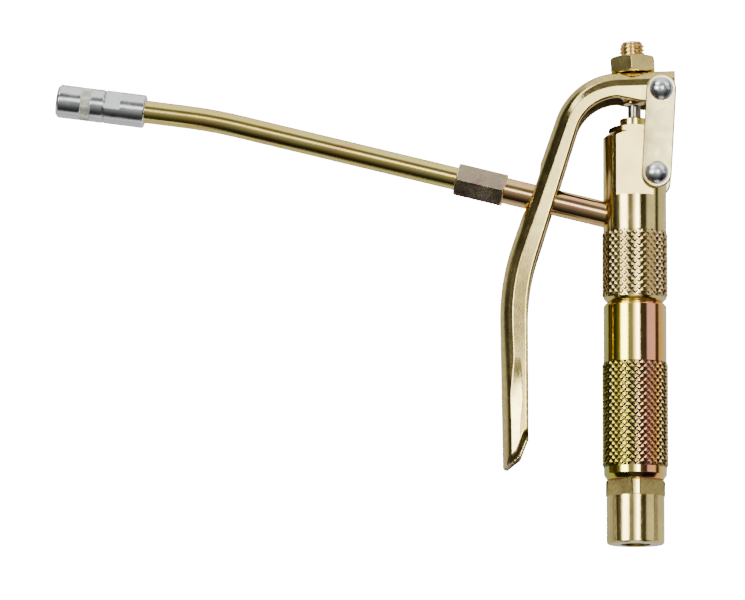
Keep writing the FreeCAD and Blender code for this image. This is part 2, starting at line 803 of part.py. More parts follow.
def lock_nut():
    corner = "(nut_across / sqrt(3))"
    face = "(nut_across / 2 - small_edge)"
    blank = turned("nut_blank", [
        ("screw_radius + running_gap", "nut_low"),
        (face, "nut_low"),
        (corner, "nut_low + nut_edge"),
        (corner, "nut_low + nut_height - nut_edge"),
        (face, "nut_low + nut_height"),
        ("screw_radius + running_gap", "nut_low + nut_height"),
    ])
    bar = sided_bar("nut_bar", 6, "nut_across", "nut_low - overrun", "nut_height + 2 * overrun", "nut_turn")
    nut = keep("lock_nut", joined("lock_nut", "Common", blank, bar))
    nut.Placement = screw_place()
    return nut


def link(label, inside):
    """A flat plate with round ends between the two rivets, its outer edge eased."""
    owner = doc.addObject("PartDesign::Body", label)
    plate = new_sketch(owner, "XZ_Plane", label + "_plate")
    long_hole(plate, ("lower_pivot_x", "lower_pivot_z"), ("upper_pivot_x", "upper_pivot_z"), "link_half")
    circle(plate, "lower_pivot_x", "lower_pivot_z", "rivet_radius + running_gap")
    circle(plate, "upper_pivot_x", "upper_pivot_z", "rivet_radius + running_gap")
    padded(owner, plate, "link_thick")

    def rim(edge):
        box = edge.BoundBox
        return box.YLength < 1e-6 and max(box.XLength, box.ZLength) > 2 * value("rivet_radius") + 1

    eased(owner, "Chamfer", "link_edge", rim)
    owner.Placement.Base.y = value(inside)
    return keep(label, owner)


def rivet(label, pivot_x, pivot_z, gap):
    """Rivet with a domed head at each end, its shank across the gun."""
    face = f"(link_inside + link_thick + {gap})"
    dome = "((rivet_head_radius^2 + rivet_dome^2) / (2 * rivet_dome))"
    piece = turned(label, [
        ("0", f"-{face} - rivet_rim - rivet_dome", dome),
        ("rivet_head_radius", f"-{face} - rivet_rim"),
        ("rivet_head_radius", f"-{face}"),
        ("rivet_radius", f"-{face}"),
        ("rivet_radius", face),
        ("rivet_head_radius", face),
        ("rivet_head_radius", f"{face} + rivet_rim", dome),
        ("0", f"{face} + rivet_rim + rivet_dome"),
    ])
    piece.Placement = FreeCAD.Placement(
        FreeCAD.Vector(value(pivot_x), 0, value(pivot_z)),
        FreeCAD.Rotation(FreeCAD.Vector(1, 0, 0), 90),
    )
    return keep(label, piece)


# Outlet.

def outlet_stub_tube():
    piece = turned("outlet_stub_tube", [
        ("stub_bore", "stub_start + 0.05"),
        ("stub_radius", "stub_start + 0.05"),
        ("stub_radius", "stub_end - 0.6"),
        ("stub_radius - 0.6", "stub_end"),
        ("stub_bore", "stub_end"),
    ])
    piece.Placement = outlet_place("0")
    return keep("outlet_stub_tube", piece)


def union_nut():
    corner = "(union_across / sqrt(3))"
    face = "(union_across / 2 - 0.2)"
    finish = "(union_start + union_length)"
    union_reach = "union_length + 2 * overrun"
    blank = turned("union_blank", [
        ("stub_radius + running_gap", "union_start"),
        (face, "union_start"),
        (corner, "union_start + union_edge"),
        (corner, f"{finish} - union_edge"),
        (face, finish),
        ("extension_radius + running_gap", finish),
        ("extension_radius + running_gap", "extension_start + ferrule_length + 1.2"),
        ("stub_radius + running_gap", "extension_start + ferrule_length + 0.4"),
    ])
    bar = sided_bar("union_bar", 6, "union_across", "union_start - overrun", union_reach, "union_turn")
    nut = keep("union_nut", joined("union_nut", "Common", blank, bar))
    nut.Placement = outlet_place("0")
    return nut


def union_ferrule():
    finish = "(extension_start + ferrule_length)"
    piece = turned("union_ferrule", [
        ("extension_radius + running_gap / 2", "extension_start"),
        ("stub_radius - 0.2", "extension_start"),
        ("stub_radius", "extension_start + 0.6"),
        ("stub_radius", f"{finish} - 0.6"),
        ("extension_radius + 0.2", finish),
        ("extension_radius + running_gap / 2", finish),
    ])
    piece.Placement = outlet_place("0")
    return keep("union_ferrule", piece)


def extension_tube():
    """Tube swept along two straight runs with one gentle bend between them."""
    owner = doc.addObject("PartDesign::Body", "extension_tube")
    tangent = "(extension_bend_radius * tan(extension_bend / 2))"
    first = f"(extension_corner - extension_start - {tangent})"
    last = "(coupler_reach + coupler_socket - 0.5)"
    path = new_sketch(owner, "XZ_Plane", "extension_path")
    turn_x = f"(-{tangent} * sin(extension_bend))"
    turn_z = f"({first} + {tangent} + {tangent} * cos(extension_bend))"
    end_x = f"(-{last} * sin(extension_bend))"
    end_z = f"({first} + {tangent} + {last} * cos(extension_bend))"
    stops = [("0", "0"), ("0", first), (turn_x, turn_z), (end_x, end_z)]
    places = [FreeCAD.Vector(value(across), value(up), 0) for across, up in stops]
    path.addGeometry(Part.LineSegment(places[0], places[1]))
    bend = arc_middle(places[1], places[2], value("extension_bend_radius"))
    path.addGeometry(Part.Arc(places[1], bend, places[2]))
    path.addGeometry(Part.LineSegment(places[2], places[3]))
    path.addConstraint(Sketcher.Constraint("Coincident", 0, 2, 1, 1))
    path.addConstraint(Sketcher.Constraint("Coincident", 1, 2, 2, 1))
    for geometry, end, stop in ((0, 1, 0), (1, 1, 1), (1, 2, 2), (2, 2, 3)):
        pin_down(path, geometry, end, *stops[stop])
    mark = path.addConstraint(Sketcher.Constraint("Radius", 1, value("extension_bend_radius")))
    bind(path, f"Constraints[{mark}]", "extension_bend_radius")
    ring = new_sketch(owner, "XY_Plane", "extension_ring")
    circle(ring, "0", "0", "extension_radius")
    circle(ring, "0", "0", "extension_bore")
    pipe = owner.newObject("PartDesign::AdditivePipe", "extension_pipe")
    pipe.Profile = ring
    pipe.Spine = (path, ["Edge1", "Edge2", "Edge3"])
    doc.recompute()
    owner.Placement = outlet_place("extension_start")
    return keep("extension_tube", owner)


# Hydraulic coupler.

def coupler_body():
    blank = turned("coupler_blank", [
        ("extension_radius + running_gap", "0"),
        ("coupler_radius - coupler_edge", "0"),
        ("coupler_radius", "coupler_edge"),
        ("coupler_radius", "coupler_joint - coupler_joint_gap"),
        ("coupler_radius - coupler_joint_gap", "coupler_joint"),
        ("coupler_spigot_radius", "coupler_joint"),
        ("coupler_spigot_radius", "coupler_spigot_end"),
        ("coupler_chamber_radius", "coupler_spigot_end"),
        ("coupler_chamber_radius", "coupler_chamber"),
        ("coupler_passage", "coupler_chamber"),
        ("coupler_passage", "coupler_socket"),
        ("extension_radius + running_gap", "coupler_socket"),
    ])
    flats = new_sketch(blank, "XY_Plane", "coupler_flats")
    reach = "(coupler_radius + 2)"
    inner = "(coupler_across / 2)"
    outline(flats, [(f"-{reach}", inner), (reach, inner), (reach, reach), (f"-{reach}", reach)])
    outline(flats, [
        (f"-{reach}", f"-{reach}"), (reach, f"-{reach}"), (reach, f"-{inner}"), (f"-{reach}", f"-{inner}"),
    ])
    bind(flats, "AttachmentOffset.Base.z", "coupler_joint - coupler_joint_gap - coupler_flats / 2")
    pocket(blank, flats, "coupler_flats")
    blank.Placement = coupler_place(value("coupler_flat_turn"))
    return keep("coupler_body", blank)


def coupler_sleeve():
    """Front sleeve with the cone that closes the jaws, and a recessed band for its knurl."""
    low = "(coupler_joint + assembly_gap)"
    front = "coupler_length"
    return placed_on_coupler("coupler_sleeve", [
        ("cone_radius", low),
        ("coupler_radius - coupler_joint_gap", low),
        ("coupler_radius", f"{low} + coupler_joint_gap"),
        ("coupler_radius", "coupler_band_low"),
        ("coupler_band_radius", "coupler_band_low + 0.2"),
        ("coupler_band_radius", "coupler_band_high - 0.2"),
        ("coupler_radius", "coupler_band_high"),
        ("coupler_radius", f"{front} - mouth_edge"),
        ("coupler_radius - mouth_edge", front),
        ("mouth_radius + 0.4", front),
        ("mouth_radius", f"{front} - 0.4"),
        ("cone_radius", "cone_start"),
    ])


def placed_on_coupler(label, profile, spin=0.0, sweep="360"):
    piece = turned(label, profile, sweep)
    piece.Placement = coupler_place(spin)
    return keep(label, piece)


def coupler_jaws():
    """Four jaws that grip a grease nipple behind its head. Each is a quarter ring inside the cone."""
    slope = "((cone_radius - mouth_radius) / (coupler_length - 0.4 - cone_start))"
    outer_low = f"(cone_radius - jaw_gap - {slope} * (jaw_low - cone_start))"
    outer_high = f"(cone_radius - jaw_gap - {slope} * (jaw_high - cone_start))"
    for number in range(4):
        spin = value("90 * " + str(number) + " + jaw_slit / 2 + 45")
        placed_on_coupler(f"coupler_jaw_{number + 1}", [
            ("nipple_radius", "jaw_low"),
            (outer_low, "jaw_low"),
            (outer_high, "jaw_high"),
            ("nipple_radius + small_edge", "jaw_high"),
            ("nipple_radius", "jaw_high - small_edge"),
        ], spin, "90 - jaw_slit")


def coupler_seal():
    placed_on_coupler("coupler_seal", [
        ("seal_bore", "seal_low"),
        ("seal_radius", "seal_low"),
        ("seal_radius", "seal_high"),
        ("nipple_radius", "seal_high"),
        ("seal_bore", "seal_high - 0.9"),
    ])


def coupler_plunger():
    """Hollow plunger behind the seal, with a flange that the spring's body guides."""
    placed_on_coupler("coupler_plunger", [
        ("seal_bore", "plunger_low + 0.8"),
        ("seal_bore + 0.8", "plunger_low"),
        ("plunger_radius - 1.2", "plunger_low"),
        ("plunger_radius - 0.1", "plunger_low + 1.1"),
        ("plunger_radius - 0.1", "plunger_flange"),
        ("seal_radius", "plunger_flange"),
        ("seal_radius", "seal_low - 0.02"),
        ("seal_bore", "seal_low - 0.02"),
    ])


def coupler_check_ball():
    ball = doc.addObject("Part::Sphere", "coupler_check_ball")
    bind(ball, "Radius", "check_ball_radius")
    place = coupler_place()
    ahead = FreeCAD.Placement(FreeCAD.Vector(0, 0, value("check_ball_centre")), FreeCAD.Rotation())
    ball.Placement = place * ahead
    keep("coupler_check_ball", ball)


def coupler_spring():
    low = "(coupler_chamber + 0.1)"
    high = "(check_ball_centre - 1.56)"
    sizes = ("coupler_spring_radius", "coupler_spring_wire", low, high, "coupler_spring_turns")
    spring = coil("coupler_spring", *sizes)
    start = FreeCAD.Vector(0, 0, value(f"{low} + coupler_spring_wire / 2"))
    spring.Placement = coupler_place() * FreeCAD.Placement(start, FreeCAD.Rotation())


def build():
    inlet_fitting()
    inlet_washer()
    inlet_strainer()
    grip_sleeve()
    valve_head()
    valve_seat()
    valve_ball()
    spring_retainer()
    spring_top = f"({BALL_Z} - ball_radius + 1.2)"
    spring_low = "(retainer_top + running_gap)"
    coil("valve_spring", "spring_radius", "spring_wire", spring_low, spring_top, "spring_turns")
    valve_stem()
    packing_washer()
    gland_packing()
    gland_nut()
    lever()
    adjusting_screw()
    lock_nut()
    link("link_front", "-link_inside")
    link("link_rear", "link_inside + link_thick")
    rivet("lower_rivet", "lower_pivot_x", "lower_pivot_z", "0")
    rivet("upper_rivet", "upper_pivot_x", "upper_pivot_z", "rivet_gap")
    outlet_stub_tube()
    union_nut()
    union_ferrule()
    extension_tube()
    coupler_body()
    coupler_sleeve()
    coupler_jaws()
    coupler_seal()
    coupler_plunger()
    coupler_check_ball()
    coupler_spring()


def check():
    """Stops before anything is written if an object failed or a solid isn't sound."""
    for thing in doc.Objects:
        if "Invalid" in thing.State or "Error" in thing.State:
            raise RuntimeError(f"{thing.Name}: {thing.State}")
    for piece in parts:
        if piece.Shape.isNull() or not piece.Shape.isValid() or piece.Shape.Volume <= 0:
            raise RuntimeError(piece.Label + " isn't a sound solid")


build()
doc.recompute()
check()
os.makedirs("parts", exist_ok=True)
for piece in parts:
    piece.Shape.exportStep(f"parts/{piece.Label}.step")
    print(f"{piece.Label}: {len(piece.Shape.Solids)} solid, {piece.Shape.Volume:.1f} mm3")
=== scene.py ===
import json
import math
from collections import namedtuple

import bmesh
import bpy
from mathutils import Matrix, Vector

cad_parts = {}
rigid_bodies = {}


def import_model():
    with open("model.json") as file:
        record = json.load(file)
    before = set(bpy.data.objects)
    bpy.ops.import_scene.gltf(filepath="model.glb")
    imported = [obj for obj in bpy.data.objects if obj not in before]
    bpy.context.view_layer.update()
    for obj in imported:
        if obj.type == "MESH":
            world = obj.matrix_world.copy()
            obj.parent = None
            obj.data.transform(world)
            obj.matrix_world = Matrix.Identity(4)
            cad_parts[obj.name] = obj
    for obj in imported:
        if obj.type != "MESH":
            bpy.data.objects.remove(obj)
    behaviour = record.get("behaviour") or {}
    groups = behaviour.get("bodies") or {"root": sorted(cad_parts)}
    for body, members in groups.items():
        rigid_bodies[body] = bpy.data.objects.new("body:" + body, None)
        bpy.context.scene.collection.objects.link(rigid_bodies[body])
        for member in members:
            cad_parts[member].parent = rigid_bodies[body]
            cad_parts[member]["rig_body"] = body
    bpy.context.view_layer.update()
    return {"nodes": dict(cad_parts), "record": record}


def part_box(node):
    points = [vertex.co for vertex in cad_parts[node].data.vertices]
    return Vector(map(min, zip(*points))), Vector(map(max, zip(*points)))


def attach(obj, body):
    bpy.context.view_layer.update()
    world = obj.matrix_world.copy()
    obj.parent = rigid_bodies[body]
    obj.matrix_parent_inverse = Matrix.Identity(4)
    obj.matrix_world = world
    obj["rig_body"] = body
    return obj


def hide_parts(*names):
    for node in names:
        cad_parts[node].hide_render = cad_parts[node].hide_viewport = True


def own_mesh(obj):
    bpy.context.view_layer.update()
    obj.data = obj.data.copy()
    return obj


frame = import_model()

MM = 0.001
scene = bpy.context.scene
nodes = frame["nodes"]


# ---------------------------------------------------------------- camera
def add_camera():
    """Below the object and a little to its right, looking up."""
    target = Vector((-115.10, 0, 107.85)) * MM
    place = Vector((-28.9, -2466.0, -250.0)) * MM
    roll = math.radians(0.215)
    data = bpy.data.cameras.new("camera")
    data.sensor_width = 36
    data.lens = 274.47
    data.clip_end = 50
    camera = bpy.data.objects.new("camera", data)
    scene.collection.objects.link(camera)
    look = (target - place).to_track_quat("-Z", "Y").to_matrix()
    turned = look @ Matrix.Rotation(roll, 3, "Z")
    camera.matrix_world = Matrix.Translation(place) @ turned.to_4x4()
    scene.camera = camera


# ---------------------------------------------------------------- shader graphs
class Graph:
    """Short ways to build a node tree."""

    def __init__(self, tree):
        self.tree = tree

    def node(self, kind, **settings):
        made = self.tree.nodes.new("ShaderNode" + kind)
        for name, setting in settings.items():
            setattr(made, name, setting)
        return made

    def feed(self, socket, source):
        """Links a socket, or sets its default when the source is a plain value."""
        if isinstance(source, bpy.types.NodeSocket):
            self.tree.links.new(source, socket)
        elif isinstance(source, tuple) and len(source) == 3 and socket.type == "RGBA":
            socket.default_value = (*source, 1)
        else:
            socket.default_value = source

    def math(self, operation, first, second=0.0, third=0.0):
        made = self.node("Math", operation=operation)
        for socket, source in zip(made.inputs, (first, second, third)):
            self.feed(socket, source)
        return made.outputs[0]

    def span(self, source, low, high, to_low=0.0, to_high=1.0):
        """Smooth step from one range to another."""
        made = self.node("MapRange", interpolation_type="SMOOTHSTEP")
        settings = {
            "Value": source, "From Min": low, "From Max": high, "To Min": to_low, "To Max": to_high
        }
        for name, setting in settings.items():
            self.feed(made.inputs[name], setting)
        return made.outputs[0]

    def blend(self, share, first, second):
        """Plain numbers mixed by a share."""
        kept = self.math("MULTIPLY", first, self.math("SUBTRACT", 1.0, share))
        return self.math("ADD", kept, self.math("MULTIPLY", share, second))

    def ramp(self, source, stops, smooth=False):
        made = self.node("ValToRGB")
        ramp = made.color_ramp
        ramp.interpolation = "EASE" if smooth else "LINEAR"
        while len(ramp.elements) < len(stops):
            ramp.elements.new(1.0)
        for element, (position, colour) in zip(ramp.elements, stops):
            element.position = position
            element.color = (*colour, 1) if isinstance(colour, tuple) else (colour, colour, colour, 1)
        self.feed(made.inputs[0], source)
        return made.outputs[0]

    def ramp_by_angle(self, angle, circle, stops):
        """A ramp whose stops are angles in degrees, half a circle to either side of zero."""
        share = self.math("MULTIPLY_ADD", angle, 1 / circle, 0.5)
        return self.ramp(share, [(degrees / circle + 0.5, level) for degrees, level in stops])

    def mix(self, factor, first, second, blend="MIX"):
        made = self.node("Mix", data_type="RGBA", blend_type=blend)
        self.feed(made.inputs[0], factor)
        self.feed(made.inputs[6], first)
        self.feed(made.inputs[7], second)
        return made.outputs[2]

    def noise(self, place, scale, detail=2.0, roughness=0.5):
        made = self.node("TexNoise")
        self.feed(made.inputs["Vector"], place)
        made.inputs["Scale"].default_value = scale
        made.inputs["Detail"].default_value = detail
        made.inputs["Roughness"].default_value = roughness
        return made.outputs["Fac"]

    def stretched(self, place, scale):
        made = self.node("Mapping")
        self.feed(made.inputs["Vector"], place)
        made.inputs["Scale"].default_value = scale
        return made.outputs[0]


# ---------------------------------------------------------------- studio
LAMP_STRENGTH = 16.0
BACKDROP_STRENGTH = 22.0
TENT_TINT = (1.0, 0.9975, 0.99, 1)
# Strip lamps round the object, as (azimuth in degrees, level). Zero is in front.
STRIP_LAMPS = (
    (-180, 0.040), (-112, 0.040), (-101, 0.030), (-94, 0.003), (-74, 0.003), (-67, 0.008),
    (-61, 0.014), (-55, 0.05), (-51, 0.80), (-31, 0.80), (-26, 0.02), (-10, 0.02), (-4, 0.10),
    (3, 0.40), (7, 1.0), (13, 1.0), (17, 0.004), (41, 0.003), (46, 0.060), (76, 0.070), (80, 0.004),
    (92, 0.004), (99, 0.050), (150, 0.050), (180, 0.040),
)
# The tent above and below the strip lamps, as (elevation in degrees, level).
TENT_LEVELS = (
    (-90, 1.30), (-80, 1.30), (-71, 0.06), (-60, 0.035), (-45, 0.06), (-30, 0.15), (-8, 0.32),
    (10, 0.60), (20, 0.50), (28, 0.14), (44, 0.16), (54, 0.95), (64, 1.30), (76, 1.15), (90, 1.10),
)


def add_world():
    """A pale backdrop for the camera, and a light tent with strip lamps that only lights the object."""
    world = bpy.data.worlds.new("studio")
    scene.world = world
    world.use_nodes = True
    tree = world.node_tree
    tree.nodes.clear()
    g = Graph(tree)
    split = g.node("SeparateXYZ")
    g.feed(split.inputs[0], g.node("TexCoord").outputs["Generated"])
    forward = g.math("MULTIPLY", split.outputs["Y"], -1.0)
    turn = g.math("DEGREES", g.math("ARCTAN2", split.outputs["X"], forward))
    rise = g.math("DEGREES", g.math("ARCSINE", split.outputs["Z"]))
    aside = g.math("ABSOLUTE", turn)

    lamps = g.math("MULTIPLY", g.ramp_by_angle(turn, 360, STRIP_LAMPS), LAMP_STRENGTH)
    overhead = g.ramp_by_angle(rise, 180, TENT_LEVELS)
    # The lamps shine in a low belt in front, and at every height behind.
    front = g.span(aside, 94.0, 106.0, 1.0, 0.0)
    belt = g.math("MULTIPLY", g.span(rise, -1.0, 5.0), g.span(rise, 12.0, 19.0, 1.0, 0.0))
    off_belt = g.math("MULTIPLY", front, g.math("SUBTRACT", 1.0, belt))
    # Off the belt the tent is dimmer to the sides, but not near the top and the bottom.
    dimmed = g.math("MULTIPLY", overhead, g.span(aside, 15.0, 45.0, 1.0, 0.2))
    middle = g.blend(off_belt, lamps, dimmed)
    top_and_bottom = g.math("ADD", g.span(rise, 50.0, 70.0), g.span(rise, -76.0, -66.0, 1.0, 0.0))
    level = g.blend(g.math("MINIMUM", top_and_bottom, 1.0), middle, overhead)

    tent = g.node("Background")
    tent.inputs["Color"].default_value = TENT_TINT
    g.feed(tent.inputs["Strength"], level)
    backdrop = g.node("Background")
    backdrop.inputs["Color"].default_value = (1, 1, 1, 1)
    backdrop.inputs["Strength"].default_value = BACKDROP_STRENGTH
    chosen = g.node("MixShader")
    g.feed(chosen.inputs[0], g.node("LightPath").outputs["Is Camera Ray"])
    g.feed(chosen.inputs[1], tent.outputs[0])
    g.feed(chosen.inputs[2], backdrop.outputs[0])
    g.feed(g.node("OutputWorld").inputs[0], chosen.outputs[0])


def add_floor():
    """A pale floor well under the object, seen from above only and left out of the reflections."""
    half = 12.0
    level = -0.33
    corners = [(-half, -half, level), (half, -half, level), (half, half, level), (-half, half, level)]
    mesh = bpy.data.meshes.new("floor")
    mesh.from_pydata(corners, [], [(0, 1, 2, 3)])
    floor = bpy.data.objects.new("floor", mesh)
    scene.collection.objects.link(floor)
    floor.visible_glossy = False
    material = bpy.data.materials.new("floor_paper")
    material.use_nodes = True
    tree = material.node_tree
    g = Graph(tree)
    paper = tree.nodes["Principled BSDF"]
    place = g.node("TexCoord").outputs["Object"]
    tones = [(0.3, (0.86, 0.86, 0.85)), (0.7, (0.9, 0.9, 0.89))]
    g.feed(paper.inputs["Base Color"], g.ramp(g.noise(place, 3.0), tones))
    paper.inputs["Roughness"].default_value = 0.9
    paper.inputs["Emission Color"].default_value = (1.0, 1.0, 0.99, 1)
    paper.inputs["Emission Strength"].default_value = 2.2
    clear = g.node("BsdfTransparent")
    chosen = g.node("MixShader")
    g.feed(chosen.inputs[0], g.node("NewGeometry").outputs["Backfacing"])
    g.feed(chosen.inputs[1], paper.outputs[0])
    g.feed(chosen.inputs[2], clear.outputs[0])
    g.feed(tree.nodes["Material Output"].inputs[0], chosen.outputs[0])
    mesh.materials.append(material)


def add_lamp(name, place, size, power):
    """A round soft lamp that faces the object."""
    aim = Vector((-0.1, 0, 0.1))
    data = bpy.data.lights.new(name, "AREA")
    data.shape = "DISK"
    data.size = size
    data.energy = power
    lamp = bpy.data.objects.new(name, data)
    scene.collection.objects.link(lamp)
    lamp.location = place
    lamp.rotation_euler = (aim - Vector(place)).to_track_quat("-Z", "Y").to_euler()


# ---------------------------------------------------------------- materials
def metal(name, colour, roughness, grain=1.2e-5, grain_scale=2600.0, spread=0.06, brush=None):
    """A metallic finish. colour(g, place) gives the colour's socket, and brush stretches the grain."""
    material = bpy.data.materials.new(name)
    material.use_nodes = True
    tree = material.node_tree
    g = Graph(tree)
    shader = tree.nodes["Principled BSDF"]
    place = g.node("TexCoord").outputs["Object"]
    g.feed(shader.inputs["Base Color"], colour(g, place))
    shader.inputs["Metallic"].default_value = 1.0
    patches = g.noise(place, 160.0, 4.0, 0.6)
    worn = g.span(patches, 0.3, 0.75, roughness - spread, roughness + spread)
    g.feed(shader.inputs["Roughness"], worn)
    grained = g.stretched(place, brush) if brush else place
    bump = g.node("Bump")
    bump.inputs["Strength"].default_value = 1.0
    bump.inputs["Distance"].default_value = grain
    g.feed(bump.inputs["Height"], g.noise(grained, grain_scale, 3.0, 0.65))
    g.feed(shader.inputs["Normal"], bump.outputs[0])
    return material


def toned(dark, light, scale=90.0):
    """Two tones of one colour in soft clouds, with small darker specks."""
    def colour(g, place):
        clouds = g.ramp(g.noise(place, scale, 4.0, 0.6), [(0.35, dark), (0.65, light)])
        specks = g.span(g.noise(place, 900.0, 2.0, 0.7), 0.66, 0.74, 1.0, 0.72)
        return g.mix(1.0, clouds, specks, "MULTIPLY")
    return colour


def chromate(stops, radius, drift, groove_shade_radii=None):
    """Interference colours that change across an upright part, in streaks along it.

    The colour also darkens to a dark brown in a knurl's grooves, and rises out of it between two given
    radii: painted shade in the grooves.
    """
    def colour(g, place):
        split = g.node("SeparateXYZ")
        g.feed(split.inputs[0], place)
        across = g.math("MULTIPLY_ADD", split.outputs["X"], 0.5 / radius, 0.5)
        streaks = g.noise(g.stretched(place, (60.0, 60.0, 9.0)), 1.0, 3.0, 0.6)
        phase = g.math("ADD", across, g.math("MULTIPLY", g.math("SUBTRACT", streaks, 0.5), drift))
        tint = g.ramp(phase, stops, smooth=True)
        blotch = g.span(g.noise(place, 260.0, 3.0, 0.6), 0.45, 0.75, 0.0, 0.25)
        tint = g.mix(blotch, tint, (0.80, 0.66, 0.34))
        if not groove_shade_radii:
            return tint
        # Painted shade: dark brown in the knurl's grooves, fading out towards the points.
        flat = g.node("CombineXYZ")
        g.feed(flat.inputs["X"], split.outputs["X"])
        g.feed(flat.inputs["Y"], split.outputs["Y"])
        reach = g.node("VectorMath", operation="LENGTH")
        g.feed(reach.inputs[0], flat.outputs[0])
        return g.mix(g.span(reach.outputs["Value"], *groove_shade_radii), (0.12, 0.085, 0.035), tint)
    return colour


def painted_shade_across_plate(dark, light, start, end):
    """Painted shade: plating that grows lighter across a plate, along X, in soft clouds."""
    def colour(g, place):
        split = g.node("SeparateXYZ")
        g.feed(split.inputs[0], place)
        share = g.span(split.outputs["X"], start, end)
        clouds = g.math("MULTIPLY", g.math("SUBTRACT", g.noise(place, 260.0, 4.0, 0.6), 0.5), 0.9)
        return g.ramp(g.math("ADD", share, clouds), [(0.0, dark), (1.0, light)])
    return colour


def along_chromate(stops, stretch, across_share=0.0):
    """Interference colours in drifting clouds. stretch is how fine the clouds are along each axis."""
    def colour(g, place):
        clouds = g.noise(g.stretched(place, stretch), 1.0, 4.0, 0.62)
        edge = g.node("LayerWeight")
        edge.inputs["Blend"].default_value = 0.35
        phase = g.math("MULTIPLY_ADD", edge.outputs["Facing"], across_share, clouds)
        return g.ramp(phase, stops, smooth=True)
    return colour


def plain(name, dark, light, roughness):
    """A soft non-metal: rubber or plastic."""
    material = bpy.data.materials.new(name)
    material.use_nodes = True
    g = Graph(material.node_tree)
    shader = material.node_tree.nodes["Principled BSDF"]
    place = g.node("TexCoord").outputs["Object"]
    g.feed(shader.inputs["Base Color"], g.ramp(g.noise(place, 300.0), [(0.35, dark), (0.65, light)]))
    spread = 0.08
    worn = g.span(g.noise(place, 700.0), 0.3, 0.7, roughness - spread, roughness + spread)
    g.feed(shader.inputs["Roughness"], worn)
    return material


# Two tones of the pale zinc plating.
PALE = ((0.70, 0.55, 0.20), (0.88, 0.72, 0.25))
# Interference colours, as (share of the ramp, colour).
SLEEVE_STOPS = [
    (0.02, (0.52, 0.54, 0.14)), (0.14, (0.74, 0.58, 0.03)), (0.34, (0.92, 0.80, 0.10)),
    (0.46, (0.95, 0.74, 0.20)), (0.58, (0.95, 0.60, 0.20)), (0.74, (0.98, 0.38, 0.24)),
    (0.88, (0.98, 0.46, 0.10)), (0.98, (0.84, 0.64, 0.24)),
]
HEAD_KNURL_STOPS = [
    (0.05, (0.72, 0.58, 0.22)), (0.30, (0.88, 0.74, 0.24)), (0.50, (0.96, 0.80, 0.18)),
    (0.75, (0.95, 0.62, 0.26)), (0.95, (0.86, 0.56, 0.28)),
]
TUBE_STOPS = [
    (0.32, (0.97, 0.58, 0.24)), (0.44, (0.97, 0.76, 0.20)), (0.56, (0.97, 0.82, 0.26)),
    (0.66, (0.92, 0.74, 0.17)), (0.80, (0.96, 0.58, 0.34)),
]
STUB_STOPS = [
    (0.32, (0.96, 0.50, 0.32)), (0.46, (0.96, 0.62, 0.28)), (0.60, (0.94, 0.66, 0.24)),
    (0.76, (0.94, 0.48, 0.24)),
]
UNION_STOPS = [
    (0.36, (0.88, 0.54, 0.46)), (0.46, (0.90, 0.74, 0.54)), (0.58, (0.84, 0.70, 0.40)),
    (0.70, (0.86, 0.54, 0.42)),
]


